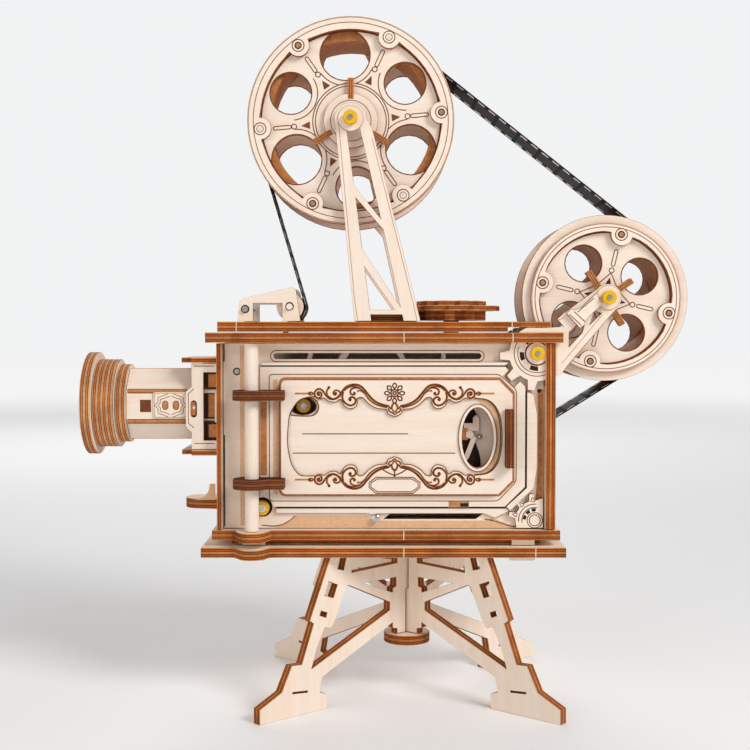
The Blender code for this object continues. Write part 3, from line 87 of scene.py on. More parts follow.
UPPER_REEL: Point = (-22.0, 223.4)
REAR_REEL: Point = (75.2, 156.2)
ARM_PIVOT: Point = (48.5, 135.1)
FEED_DRUM: Point = (23.5, 104.0)
SHUTTER: Point = (-40.1, 115.1)
LOWER_ROLLER: Point = (-55.7, 76.4)
DRUM_FACE = -21.4
BRACKET_FACE = -24.1
WALL_FACE = -25.4
PLATE_FACE = -27.6
STAND_FACE = -27.9
GEAR_FACE = -27.3
SILL_FACE = -26.7
PANEL_BACK = -27.9
RIM_FACE = -29.5
LOW_FACE = -28.95
COLLAR_FACE = -29.7
HIGH_FACE = -29.8
ORNAMENT_X = -5.4
ORNAMENT_Z = 103.7


class Axis(Enum):
    """The direction that a sheet faces."""

    X = (1.0, 0.0, 0.0)
    Y = (0.0, 1.0, 0.0)
    Z = (0.0, 0.0, 1.0)
    MAIN = (-math.sin(STAND_TURN), math.cos(STAND_TURN), 0.0)
    CROSS = (math.sin(STAND_TURN), math.cos(STAND_TURN), 0.0)

    @property
    def vector(self) -> Vector:
        """The direction as a vector."""
        return Vector(self.value)

    def turn(self) -> Matrix:
        """The turn from Z to this direction."""
        return Vector((0, 0, 1)).rotation_difference(self.vector).to_matrix().to_4x4()


class Grain(Enum):
    """The way that a sheet's wood grain runs, as a stretch of its pattern along X, Y and Z."""

    ALONG_X = (0.05, 1.0, 1.0)
    ALONG_Y = (1.0, 0.05, 1.0)
    ALONG_Z = (1.0, 1.0, 0.05)


class Wood(Enum):
    """The finishes that a wooden piece can have."""

    FACE_X = "face_x"
    FACE_Y = "face_y"
    FACE_Z = "face_z"
    EDGE = "edge"
    BURNT = "burnt"
    RING = "ring"
    LINE = "line"


class Board:
    """A node tree with short methods for the nodes that the finishes use."""

    def __init__(self, tree: bpy.types.NodeTree) -> None:
        """Take the tree to build in."""
        self.tree = tree

    def node(self, kind: str, **settings: object) -> bpy.types.Node:
        """Add a node.

        Args:
            kind: The node's type name.
            settings: Properties to set on it.

        Returns:
            The new node.
        """
        made = self.tree.nodes.new(kind)
        for name, value in settings.items():
            setattr(made, name, value)
        return made

    def feed(self, socket: Socket, value: object) -> None:
        """Link or set one input.

        Args:
            socket: The input.
            value: Another node's output, or a plain value.
        """
        if isinstance(value, Socket):
            self.tree.links.new(value, socket)
        else:
            socket.default_value = value

    def put(self, kind: str, inputs: dict[int | str, object], **settings: object) -> Socket:
        """Add a node and feed it.

        Args:
            kind: The node's type name.
            inputs: What each input gets, by its name or number.
            settings: Properties to set on it.

        Returns:
            Its first output.
        """
        made = self.node(kind, **settings)
        for key, value in inputs.items():
            self.feed(made.inputs[key], value)
        return made.outputs[0]

    def math(self, operation: str, *values: object) -> Socket:
        """Combine values with a Math node."""
        return self.put("ShaderNodeMath", dict(enumerate(values)), operation=operation)

    def scaled(self, vector: Socket, by: Sequence[float]) -> Socket:
        """Multiply a vector by another."""
        return self.put("ShaderNodeVectorMath", {0: vector, 1: by}, operation="MULTIPLY")

    def noise(self, vector: Socket, scale: float, detail: float = 3.0) -> Socket:
        """Add a noise, which is about 0.5 in the middle."""
        return self.put("ShaderNodeTexNoise", {"Vector": vector, "Scale": scale, "Detail": detail})

    def bump(self, height: Socket, strength: float, distance: float) -> Socket:
        """Turn a height into a normal, with the distance in metres for a height of 1."""
        return self.put("ShaderNodeBump", {"Strength": strength, "Distance": distance, "Height": height})

    def ramp(self, value: Socket, stops: Sequence[tuple[float, Colour]]) -> Socket:
        """Add a colour ramp.

        Args:
            value: What to look up.
            stops: Places and colours.

        Returns:
            The colour.
        """
        made = self.node("ShaderNodeValToRGB")
        marks = made.color_ramp.elements
        while len(marks) < len(stops):
            marks.new(0.5)
        for mark, (place, colour) in zip(marks, stops):
            mark.position = place
            mark.color = (*colour, 1.0)
        self.feed(made.inputs[0], value)
        return made.outputs["Color"]

    def mix(self, share: object, first: object, second: object) -> Socket:
        """Mix two colours.

        Args:
            share: How much of the second.
            first: The first colour.
            second: The second colour.

        Returns:
            The mixed colour.
        """
        made = self.node("ShaderNodeMix", data_type="RGBA")
        self.feed(made.inputs["Factor"], share)
        for socket, value in zip((s for s in made.inputs if s.type == "RGBA"), (first, second)):
            self.feed(socket, (*value, 1.0) if isinstance(value, tuple) else value)
        return next(s for s in made.outputs if s.type == "RGBA")

    def dress(self, inputs: dict[str, object]) -> None:
        """Feed the tree's principled shader."""
        for title, value in inputs.items():
            self.feed(self.tree.nodes["Principled BSDF"].inputs[title], value)


def group_of(name: str, outputs: Sequence[str],
             fill: Callable[[Board, Socket], Sequence[Socket]]) -> bpy.types.NodeTree:
    """Make a shader node group that turns a place into values.

    Args:
        name: Its name.
        outputs: The name of each value.
        fill: Builds the inside from the place's socket, and returns the values in order.

    Returns:
        The group.
    """
    tree = bpy.data.node_groups.new(name, "ShaderNodeTree")
    tree.interface.new_socket("Place", in_out="INPUT", socket_type="NodeSocketVector")
    for title in outputs:
        tree.interface.new_socket(title, in_out="OUTPUT", socket_type="NodeSocketFloat")
    board = Board(tree)
    place = board.node("NodeGroupInput").outputs["Place"]
    for socket, value in zip(board.node("NodeGroupOutput").inputs, fill(board, place)):
        board.feed(socket, value)
    return tree


def veneer_grain(board: Board, place: Socket) -> Sequence[Socket]:
    """The grain of a peeled veneer: fine streaks, broad bands and small pores."""
    pores = board.math("GREATER_THAN", board.noise(place, 5200.0, 1.0), 0.68)
    return board.noise(place, 2400.0, 4.0), board.noise(place, 260.0, 2.0), pores


def laser_scorch(board: Board, place: Socket) -> Sequence[Socket]:
    """The uneven scorching that a laser leaves along a cut.

    Args:
        board: Where its nodes are added.
        place: The place's socket.

    Returns:
        The scorching, as the only value.
    """
    fine = board.math("MULTIPLY", board.noise(place, 900.0, 3.0), 0.35)
    both = board.math("MULTIPLY_ADD", board.noise(place, 90.0, 2.0), 0.65, fine)
    return (board.put("ShaderNodeMapRange", {"Value": both, "From Min": 0.36, "From Max": 0.64}),)


@dataclass(frozen=True)
class Finish:
    """A named material with its principled shader.

    Attributes:
        name: The material's name.
        roughness: Its roughness.
        metallic: Its metalness.
        specular: How strongly it shines.
    """

    name: str
    roughness: float = 0.6
    metallic: float = 0.0
    specular: float = 0.3

    def start(self) -> tuple[Material, Board, Socket]:
        """Make the material.

        Returns:
            The material, a board on its tree and its object coordinates.
        """
        made = bpy.data.materials.new(self.name)
        made.use_nodes = True
        board = Board(made.node_tree)
        board.dress({"Roughness": self.roughness, "Metallic": self.metallic, "Specular IOR Level": self.specular})
        return made, board, board.node("ShaderNodeTexCoord").outputs["Object"]


@dataclass(frozen=True)
class VeneerFace(Finish):
    """The pale face of a plywood sheet.

    Attributes:
        grain: The way that its grain runs.
        pale: Its lighter colour.
        warm: Its darker colour.
    """

    grain: Grain = Grain.ALONG_X
    pale: Colour = (0.93, 0.80, 0.69)
    warm: Colour = (0.86, 0.68, 0.52)

    def build(self, grain: bpy.types.NodeTree) -> Material:
        """Make the material.

        Args:
            grain: The shared grain group.

        Returns:
            The material.
        """
        made, board, place = self.start()
        veneer = board.node("ShaderNodeGroup", node_tree=grain)
        board.feed(veneer.inputs["Place"], board.scaled(place, self.grain.value))
        streaks, bands, pores = veneer.outputs
        share = board.math("MULTIPLY_ADD", bands, 0.75, board.math("MULTIPLY", streaks, 0.55))
        middle = tuple((p + w) / 2 for p, w in zip(self.pale, self.warm))
        colour = board.ramp(share, [(0.40, self.pale), (0.70, middle), (0.93, self.warm)])
        colour = board.mix(board.math("MULTIPLY", pores, 0.13), colour, tuple(c * 0.62 for c in self.warm))
        board.dress({"Base Color": colour, "Normal": board.bump(streaks, 0.16, 0.00006),
                     "Roughness": board.math("MULTIPLY_ADD", streaks, 0.18, self.roughness - 0.06)})
        return made


@dataclass(frozen=True)
class PlyEdge(Finish):
    """The scorched, layered edge of plywood, read from each vertex's place across the sheets.

    Attributes:
        light: Colour of the outer plies.
        orange: Colour of the scorched wood between.
        dark: Colour of the glue lines and the deepest scorching.
    """

    light: Colour = (0.80, 0.34, 0.11)
    orange: Colour = (0.60, 0.125, 0.014)
    dark: Colour = (0.055, 0.011, 0.003)

    def build(self, scorch: bpy.types.NodeTree) -> Material:
        """Make the material.

        Args:
            scorch: The shared scorch group.

        Returns:
            The material.
        """
        made, board, place = self.start()
        layer = board.node("ShaderNodeAttribute", attribute_name="ply").outputs["Fac"]
        mask = board.put("ShaderNodeGroup", {"Place": place}, node_tree=scorch)
        waver = board.math("MULTIPLY_ADD", board.noise(place, 700.0, 2.0), 0.06, -0.03)
        inside = board.math("ADD", board.math("FRACT", layer), waver)
        warm = tuple(0.7 * a + 0.3 * b for a, b in zip(self.orange, self.dark))
        colour = board.ramp(inside, [
            (0.0, self.dark), (0.07, self.light), (0.16, self.light), (0.23, self.dark), (0.31, self.dark),
            (0.38, self.orange), (0.50, warm), (0.62, self.orange), (0.69, self.dark), (0.77, self.dark),
            (0.84, self.light), (0.93, self.light), (1.0, self.dark)])
        board.dress({"Base Color": board.mix(board.math("MULTIPLY", mask, 0.45), colour, self.dark),
                     "Roughness": board.math("MULTIPLY_ADD", mask, 0.2, self.roughness)})
        return made


@dataclass(frozen=True)
class Plain(Finish):
    """A finish with a small variation over one colour.

    Attributes:
        colour: Its colour.
        shade: The colour that it varies towards.
        scale: The size of the variation.
        fine: How strongly the roughness varies.
    """

    colour: Colour = (0.8, 0.8, 0.8)
    shade: Colour = (0.7, 0.7, 0.7)
    scale: float = 400.0
    fine: float = 0.12

    def build(self) -> Material:
        """Make the material.

        Returns:
            The material.
        """
        made, board, place = self.start()
        value = board.noise(place, self.scale)
        board.dress({"Base Color": board.ramp(value, [(0.3, self.colour), (0.7, self.shade)]),
                     "Roughness": board.math("MULTIPLY_ADD", value, self.fine, self.roughness - self.fine / 2)})
        return made


@dataclass(frozen=True)
class FilmFinish(Finish):
    """The dark film with its frames and perforations, read from the strip's own map.

    Attributes:
        base: Colour of the film base.
        window: Colour of a frame.
        hole: Colour seen through a perforation.
    """

    base: Colour = (0.008, 0.0075, 0.008)
    window: Colour = (0.022, 0.014, 0.010)
    hole: Colour = (0.78, 0.77, 0.76)

    def build(self) -> Material:
        """Make the material.

        Returns:
            The material.
        """
        made, board, _ = self.start()
        strip = board.node("ShaderNodeTexCoord").outputs["UV"]
        split = board.node("ShaderNodeSeparateXYZ")
        board.feed(split.inputs[0], strip)
        along, across = split.outputs[0], split.outputs[1]

        def away(value: Socket, middle: float) -> Socket:
            """How far a value is from a middle."""
            return board.math("ABSOLUTE", board.math("SUBTRACT", value, middle))

        off = away(across, 0.5)
        step = away(board.math("FRACT", along), 0.5)
        picture = board.math("MULTIPLY", board.math("LESS_THAN", step, 0.43), board.math("LESS_THAN", off, 0.31))
        colour = board.mix(board.math("MULTIPLY", picture, board.noise(strip, 3.0, 2.0)), self.base, self.window)
        double = board.math("FRACT", board.math("MULTIPLY", along, 2.0))
        gap = board.math("LESS_THAN", away(double, 0.5), 0.30)
        edge = board.math("LESS_THAN", away(off, 0.40), 0.055)
        board.dress({"Base Color": board.mix(board.math("MULTIPLY", gap, edge), colour, self.hole),
                     "Roughness": board.math("MULTIPLY_ADD", picture, -0.12, self.roughness)})
        return made


class Store:
    """Every finish of the model, built once."""

    def __init__(self) -> None:
        """Build the shared groups and the materials."""
        grain = group_of("veneer_grain", ("Streaks", "Bands", "Pores"), veneer_grain)
        scorch = group_of("laser_scorch", ("Mask",), laser_scorch)
        self.wood = {
            Wood.FACE_X: VeneerFace("veneer_along_x", grain=Grain.ALONG_X).build(grain),
            Wood.FACE_Y: VeneerFace("veneer_along_y", grain=Grain.ALONG_Y).build(grain),
            Wood.FACE_Z: VeneerFace("veneer_along_z", grain=Grain.ALONG_Z).build(grain),
            Wood.EDGE: PlyEdge("ply_edge", 0.6, specular=0.12).build(scorch),
            Wood.BURNT: PlyEdge("burnt_sheet", 0.6, specular=0.12, light=(0.36, 0.13, 0.05),
                                orange=(0.24, 0.065, 0.018)).build(scorch),
            # Lit copy of the ply edge: its lighter plies paint the light that falls on the lens rings.
            Wood.RING: PlyEdge("ring_edge", 0.6, specular=0.12, light=(0.90, 0.56, 0.32),
                               orange=(0.84, 0.26, 0.055), dark=(0.10, 0.022, 0.005)).build(scorch),
            Wood.LINE: Plain("engraved_line", 0.7, specular=0.1, colour=(0.20, 0.058, 0.016),
                             shade=(0.10, 0.024, 0.006), scale=700.0).build(),
        }
        self.steel = Plain("bright_steel", 0.28, 1.0, colour=(0.66, 0.66, 0.68), shade=(0.56, 0.56, 0.58)).build()
        self.yellow = Plain("yellow_plastic", 0.38, colour=(0.86, 0.50, 0.012), shade=(0.80, 0.43, 0.008)).build()
        # Black: painted shade in holes, gaps and openings; it also stands for the black film band behind the window.
        self.black = Plain("black_shade_and_film", 0.8, colour=(0.012, 0.009, 0.008), shade=(0.02, 0.014, 0.01)).build()
        # Dark: painted shade in openings, holes and behind the bracket; also the barrel's dark joint lines.
        self.dark = Plain("dark_shade_and_joint_lines", 0.75, colour=(0.05, 0.018, 0.008), shade=(0.028, 0.01, 0.006)).build()
        # Brown: painted shade along the rims and the window's recess edge, the painted lit walls of the upper reel's
        # openings, and the barrel's hole and joint lines.
        self.brown = Plain("brown_shade_and_lines", 0.65, colour=(0.22, 0.062, 0.016), shade=(0.12, 0.03, 0.008)).build()
        self.peg = Plain("dowel_end", 0.6, colour=(0.50, 0.26, 0.12), shade=(0.34, 0.14, 0.05), scale=1500.0).build()
        # Laser scorch on drums, clips, planks and edges; the door and the panel also use it for painted shade and the
        # post's painted shadow.
        self.scorch = Plain("scorch_and_painted_shade", 0.65, colour=(0.60, 0.25, 0.085), shade=(0.44, 0.15, 0.04),
                            scale=600.0).build()
        # Scorch halo round the ornament lines; also painted shade beside the post and the raised panel, round the
        # window and under the surround.
        self.glow = Plain("scorch_halo_and_painted_shade", 0.65, colour=(0.78, 0.50, 0.30), shade=(0.70, 0.40, 0.21),
                          scale=800.0).build()
        self.fine = Plain("fine_line", 0.65, colour=(0.46, 0.24, 0.12), shade=(0.36, 0.17, 0.08), scale=900.0).build()
        self.pale = Plain("pale_mark", 0.6, colour=(0.86, 0.72, 0.60), shade=(0.78, 0.62, 0.48), scale=900.0).build()
        self.brass = Plain("brass_screw", 0.35, 1.0, colour=(0.52, 0.34, 0.20), shade=(0.42, 0.26, 0.15)).build()
        self.film = FilmFinish("film_strip", 0.6, specular=0.06).build()
        self.glass = self.make_glass()

    @staticmethod
    def make_glass() -> Material:
        """Make the lens glass.

        Returns:
            The material.
        """
        made, board, place = Finish("lens_glass", 0.03).start()
        tint = board.ramp(board.noise(place, 60.0, 1.0), [(0.3, (0.90, 0.95, 0.96)), (0.7, (0.84, 0.91, 0.94))])
        board.dress({"Base Color": tint, "Transmission Weight": 0.92, "IOR": 1.48})
        return made


def spot(x: float, y: float, z: float) -> Vector:
    """A place in metres, from millimetres along the lens axis, away from the door and up from the stand's middle."""
    return Vector((x, y, z)) * MM + SHIFT


def on_face(axis: Axis, level: float, point: Point) -> Vector:
    """A place on a face: X and Z where it faces Y, Y and Z where it faces X, X and Y where it faces Z."""
    a, b = point
    return spot(*{Axis.Y: (a, level, b), Axis.X: (level, a, b), Axis.Z: (a, b, level)}[axis])


@dataclass
class Bench:
    """Makes the pieces and hangs them on the frame's bodies.

    Attributes:
        store: The finishes.
        count: How many pieces were made.
    """

    store: Store
    count: int = 0

    def node_mesh(self, node: str) -> Mesh:
        """Take a merged copy of a CAD node's mesh.

        Args:
            node: The node's name.

        Returns:
            The copy.
        """
        work = bmesh.new()
        work.from_mesh(frame["nodes"][node].data)
        bmesh.ops.remove_doubles(work, verts=work.verts, dist=2 * MERGE)
        bmesh.ops.dissolve_degenerate(work, dist=MERGE, edges=work.edges)
        bmesh.ops.dissolve_limit(work, angle_limit=math.radians(0.6), verts=work.verts, edges=work.edges)
        return work

    def emit(self, name: str, work: Mesh, body: str, finishes: Sequence[Material],
             slot: str, stands_for: Iterable[str] = (), sharp: float = 34.0) -> Piece:
        """Turn a finished bmesh into a piece of the model.

        Args:
            name: The piece's name.
            work: Its mesh, which is freed.
            body: The CAD body that it rides on.
            finishes: Its materials.
            slot: The record's material slot, which is not used.
            stands_for: The CAD nodes that it replaces.
            sharp: Edges over this angle, in degrees, are drawn sharp.

        Returns:
            The piece.
        """
        limit = math.radians(sharp)
        for face in work.faces:
            face.smooth = True
        for edge in work.edges:
            edge.smooth = edge.is_manifold and edge.calc_face_angle(0.0) < limit
        mesh = bpy.data.meshes.new(name)
        work.to_mesh(mesh)
        work.free()
        for finish in finishes:
            mesh.materials.append(finish)
        piece = bpy.data.objects.new(name, mesh)
        bpy.context.scene.collection.objects.link(piece)
        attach(piece, body)
        if stands_for:
            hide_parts(*stands_for)
        self.count += 1
        LOG.info("%s rides on %s", name, body)
        return piece

    def mark_plies(self, work: Mesh, axis: Vector) -> None:
        """Note each vertex's place across the sheets, and give faces and edges their materials.

        Args:
            work: The mesh.
            axis: The direction that the sheets face.
        """
        layer = work.verts.layers.float.new("ply")
        low = min(vert.co.dot(axis) for vert in work.verts)
        for vert in work.verts:
            vert[layer] = (vert.co.dot(axis) - low) / SHEET
        work.normal_update()
        for face in work.faces:
            face.material_index = 0 if abs(face.normal.dot(axis)) > SQUARE_ON else 1

    def chamfer(self, work: Mesh, width: float, above: float = 40.0) -> None:
        """Ease the sharp edges a little, as a laser does.

        Args:
            work: The mesh.
            width: The width to take off.
            above: The least angle, in degrees, of an edge that is eased.
        """
        limit = math.radians(above)
        sharp = [edge for edge in work.edges if edge.is_manifold and edge.calc_face_angle(0.0) > limit]
        bmesh.ops.bevel(work, geom=sharp, offset=width, offset_type="OFFSET", segments=1, profile=0.5,
                        affect="EDGES", clamp_overlap=True, material=-1)

    def sheet(self, node: str, axis: Axis, face: Wood = Wood.FACE_X, edge: Wood = Wood.EDGE) -> Piece:
        """Dress a CAD sheet as plywood.

        Args:
            node: The CAD node.
            axis: The direction that it faces.
            face: The finish of its faces.
            edge: The finish of its cut edges.

        Returns:
            The piece that replaces the node.
        """
        work = self.node_mesh(node)
        self.chamfer(work, SHEET_EASE)
        self.mark_plies(work, axis.vector)
        slot = "burnt_plywood" if edge is Wood.BURNT and face is Wood.BURNT else "pale_plywood"
        wood = self.store.wood
        return self.emit(f"{node}_sheet", work, frame["nodes"][node]["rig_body"], [wood[face], wood[edge]], slot,
                         [node])

    def smooth(self, node: str, finish: Material, slot: str, width: float = 0.1 * MM) -> Piece:
        """Dress a turned CAD node with one finish.

        Args:
            node: The CAD node.
            finish: The material.
            slot: The record's material slot.
            width: The width of its eased edges.

        Returns:
            The piece that replaces the node.
        """
        work = self.node_mesh(node)
        self.chamfer(work, width, 50.0)
        return self.emit(f"{node}_turned", work, frame["nodes"][node]["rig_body"], [finish], slot, [node])

    def lines(self, name: str, body: str, paths: Iterable[Sequence[Point]], level: float, axis: Axis, width: float,
              closed: bool = False, finish: Material | None = None, rise: float = 0.18) -> Piece:
        """Lay thin scorched lines on a face.

        Args:
            name: The piece's name.
            body: The CAD body.
            paths: Polylines in millimetres, as for on_face.
            level: The face's level along the axis, in millimetres.
            axis: The direction that the face has.
            width: The width of a line, in millimetres.
            closed: Whether each path closes on itself.
            finish: The material, or the engraved one.
            rise: How much of its width a line stands out.

        Returns:
            The piece.
        """
        curve = bpy.data.curves.new(name, "CURVE")
        curve.dimensions = "3D"
        curve.bevel_depth = width / 2 * MM
        curve.bevel_resolution = 1
        curve.use_fill_caps = not closed
        for path in paths:
            spline = curve.splines.new("POLY")
            spline.points.add(len(path) - 1)
            spline.use_cyclic_u = closed
            for point, place in zip(spline.points, path):
                point.co = (*on_face(axis, level, place), 1.0)
        helper = bpy.data.objects.new(name, curve)
        bpy.context.scene.collection.objects.link(helper)
        bpy.context.view_layer.update()
        mesh = bpy.data.meshes.new_from_object(helper.evaluated_get(bpy.context.evaluated_depsgraph_get()))
        bpy.data.objects.remove(helper)
        work = bmesh.new()
        work.from_mesh(mesh)
        bpy.data.meshes.remove(mesh)
        bmesh.ops.remove_doubles(work, verts=work.verts, dist=MERGE)
        centre = spot(*(v * level for v in axis.value))
        flat = Matrix.Diagonal([1.0 - (1.0 - rise) * abs(v) for v in axis.value]).to_4x4()
        bmesh.ops.transform(work, matrix=Matrix.Translation(centre) @ flat @ Matrix.Translation(-centre),
                            verts=work.verts)
        bmesh.ops.recalc_face_normals(work, faces=work.faces)
        return self.emit(name, work, body, [finish or self.store.wood[Wood.LINE]], "burnt_plywood", sharp=80.0)

    def cut(self, name: str, body: str, loops: Sequence[Sequence[Point]], near: float, far: float,
            stands_for: Iterable[str] = (), width: float = 0.12, finish: Material | None = None,
            axis: Axis = Axis.Y) -> Piece:
        """Cut a new sheet to an outline with holes.

        Args:
            name: The piece's name.
            body: The CAD body.
            loops: The outline and its holes, in millimetres as for on_face.
            near: The lower level along the axis, in millimetres.
            far: The upper level.
            stands_for: The CAD nodes that it replaces.
            width: The width of its eased edges, in millimetres.
            finish: One material for all of it instead of plywood.
            axis: The direction that it faces.

        Returns:
            The piece.
        """
        work = bmesh.new()
        ring_edges = []
        for loop in loops:
            verts = [work.verts.new(on_face(axis, near, point)) for point in loop]
            ring_edges += [work.edges.new((verts[i - 1], verts[i])) for i in range(len(verts))]
        bmesh.ops.triangle_fill(work, use_beauty=True, use_dissolve=False, edges=ring_edges)
        bmesh.ops.dissolve_limit(work, angle_limit=math.radians(0.5), verts=work.verts, edges=work.edges)
        made = bmesh.ops.extrude_face_region(work, geom=list(work.faces))
        up = [v for v in made["geom"] if isinstance(v, bmesh.types.BMVert)]
        bmesh.ops.translate(work, verts=up, vec=axis.vector * (far - near) * MM)
        bmesh.ops.recalc_face_normals(work, faces=work.faces)
        if width:
            self.chamfer(work, width * MM)
        self.mark_plies(work, axis.vector)
        wood = self.store.wood
        finishes = [finish, finish] if finish else [wood[Wood.FACE_X], wood[Wood.EDGE]]
        return self.emit(name, work, body, finishes, "pale_plywood", stands_for)

    def turned(self, name: str, body: str, profile: Sequence[Point], centre: Vector, finish: Material,
               stands_for: Iterable[str] = (), sides: int = 32) -> Piece:
        """Turn a profile about an axle across the case.

        Args:
            name: The piece's name.
            body: The CAD body.
            profile: Radius and distance along the axle, in millimetres.
            centre: The place that the distances start from.
            finish: The material.
            stands_for: The CAD nodes that it replaces.
            sides: How many steps the turn has.

        Returns:
            The piece.
        """
        work = bmesh.new()
        verts = [work.verts.new((radius * MM, 0.0, height * MM)) for radius, height in profile]
        edges = [work.edges.new(pair) for pair in zip(verts, verts[1:])]
        if profile[0][0] > 0:
            edges.append(work.edges.new((verts[-1], verts[0])))
        bmesh.ops.spin(work, geom=verts + edges, cent=(0, 0, 0), axis=(0, 0, 1), dvec=(0, 0, 0),
                       angle=2 * math.pi, steps=sides, use_merge=True)
        bmesh.ops.remove_doubles(work, verts=work.verts, dist=1e-7)
        bmesh.ops.transform(work, matrix=Matrix.Translation(centre) @ Axis.Y.turn(), verts=work.verts)
        bmesh.ops.recalc_face_normals(work, faces=work.faces)
        return self.emit(name, work, body, [finish], "steel", stands_for)


def arc(centre: Point, radius: float, first: float, last: float, count: int) -> list[Point]:
    """Points on an arc between two angles in degrees, both ends included."""
    steps = [math.radians(first + (last - first) * i / (count - 1)) for i in range(count)]
    return [(centre[0] + radius * math.cos(a), centre[1] + radius * math.sin(a)) for a in steps]


def ring(centre: Point, radius: float, count: int = 40) -> list[Point]:
    """Points on a circle."""
    return arc(centre, radius, 0.0, 360.0 * (count - 1) / count, count)


def polar(centre: Point, radius: float, angle: float) -> Point:
    """A point at a distance and an angle in degrees from a centre."""
    turn = math.radians(angle)
    return (centre[0] + radius * math.cos(turn), centre[1] + radius * math.sin(turn))


def curve_through(points: Sequence[Point], steps: int = 5) -> list[Point]:
    """A smooth line through points.

    Args:
        points: The points.
        steps: How many pieces lie between two of them.

    Returns:
        The smooth line's points.
    """
    padded = [points[0], *points, points[-1]]
    out: list[Point] = []
    for before, start, end, after in zip(padded, padded[1:], padded[2:], padded[3:]):
        for i in range(steps):
            t = i / steps
            blend = [0.5 * ((2 * s) + (e - b) * t + (2 * b - 5 * s + 4 * e - a) * t * t
                            + (3 * s - b - 3 * e + a) * t ** 3)
                     for b, s, e, a in zip(before, start, end, after)]
            out.append((blend[0], blend[1]))
    return [*out, points[-1]]


def rounded(points: Sequence[Point], radius: float, count: int = 5) -> list[Point]:
    """A closed outline with every corner rounded.

    Args:
        points: Its corners.
        radius: How far from each corner the rounding starts.
        count: How many points each rounding has.

    Returns:
        The outline.
    """
    out: list[Point] = []
    for i, corner in enumerate(points):
        here = Vector(corner)
        ends = []
        for other in (points[i - 1], points[(i + 1) % len(points)]):
            way = Vector(other) - here
            ends.append(here + way.normalized() * min(radius, way.length / 2))
        for k in range(count):
            t = k / (count - 1)
            place = ends[0] * (1 - t) ** 2 + here * 2 * t * (1 - t) + ends[1] * t * t
            out.append((place.x, place.y))
    return out


def oval(centre: Point, half_width: float, half_height: float) -> list[Point]:
    """Points on an oval, from half its width and half its height."""
    return [(centre[0] + half_width * a, centre[1] + half_height * b) for a, b in ring((0.0, 0.0), 1.0)]


def slot_loop(start: Point, end: Point, width: float) -> list[Point]:
    """The outline of a slot with round ends between two points."""
    lean = math.degrees(math.atan2(end[1] - start[1], end[0] - start[0]))
    return (arc(end, width / 2, lean - 90, lean + 90, 7) + arc(start, width / 2, lean + 90, lean + 270, 7))


def sector(centre: Point, inner: float, outer: float, middle: float, half: float) -> list[Point]:
    """The outline of a piece of a ring, from its middle angle and half its spread in degrees."""
    return arc(centre, outer, middle - half, middle + half, 7) + arc(centre, inner, middle + half, middle - half, 7)


def box(left: float, right: float, low: float, high: float) -> list[Point]:
    """The outline of a rectangle."""
    return [(left, low), (right, low), (right, high), (left, high)]


def beside(centre: Point, radius: float, angle: float, across: float) -> Point:
    """A point at a distance and an angle from a centre, moved across that direction."""
    return polar(polar(centre, radius, angle), across, angle + 90)


@dataclass
class Pen:
    """Draws engraved lines, small discs and flat inlays on one face.

    Attributes:
        bench: Where the pieces are made.
        body: The CAD body that they ride on.
        level: The face's level, in millimetres.
        side: -1 if the face looks against its axis, 1 if along it.
        bold: How much wider than given the lines are drawn.
        axis: The direction of the face.
    """

    bench: Bench
    body: str
    level: float
    side: int = -1
    bold: float = 1.3
    axis: Axis = Axis.Y

    def lines(self, name: str, paths: Iterable[Sequence[Point]], width: float, closed: bool = False,
              finish: Material | None = None) -> Piece:
        """Draw lines of a width on the face."""
        return self.bench.lines(name, self.body, paths, self.level, self.axis, width * self.bold, closed, finish)

    def inlay(self, name: str, loop: Sequence[Point], finish: Material, proud: float = 0.06) -> Piece:
        """Lay a thin shape on the face that stands out a little."""
        near, far = sorted((self.level, self.level + self.side * proud))
        return self.bench.cut(name, self.body, [loop], near, far, width=0.0, finish=finish, axis=self.axis)

    def discs(self, name: str, centres: Iterable[Point], radius: float, height: float, finish: Material,
              sides: int = 24, slot: str = "burnt_plywood") -> Piece:
        """Set short round discs on the face.

        Args:
            name: The piece's name.
            centres: Where they sit.
            radius: Their radius.
            height: How far they stand out.
            finish: Their material.
            sides: How many sides each has.
            slot: The record's material slot.

        Returns:
            The piece.
        """
        work = bmesh.new()
        middle = self.level + self.side * (height / 2 - 0.05)
        for centre in centres:
            where = Matrix.Translation(on_face(self.axis, middle, centre)) @ self.axis.turn()
            bmesh.ops.create_cone(work, cap_ends=True, segments=sides, radius1=radius * MM, radius2=radius * MM,
                                  depth=(height + 0.1) * MM, matrix=where)
        self.bench.chamfer(work, min(0.12, height / 3) * MM, 60.0)
        return self.bench.emit(name, work, self.body, [finish], slot)


@dataclass
class Part:
    """A sub-assembly that is made at a bench.

    Attributes:
        bench: Where its pieces are made.
    """

    bench: Bench

    @property
    def store(self) -> Store:
        """The finishes."""
        return self.bench.store

    def pen(self, level: float, body: str = "frame", side: int = -1, bold: float = 1.3, axis: Axis = Axis.Y) -> Pen:
        """A pen for the face at a level."""
        return Pen(self.bench, body, level, side, bold, axis)

    def sheets(self, nodes: Iterable[str], axis: Axis, face: Wood = Wood.FACE_X, edge: Wood = Wood.EDGE) -> None:
        """Dress several CAD sheets alike."""
        for node in nodes:
            self.bench.sheet(node, axis, face, edge)


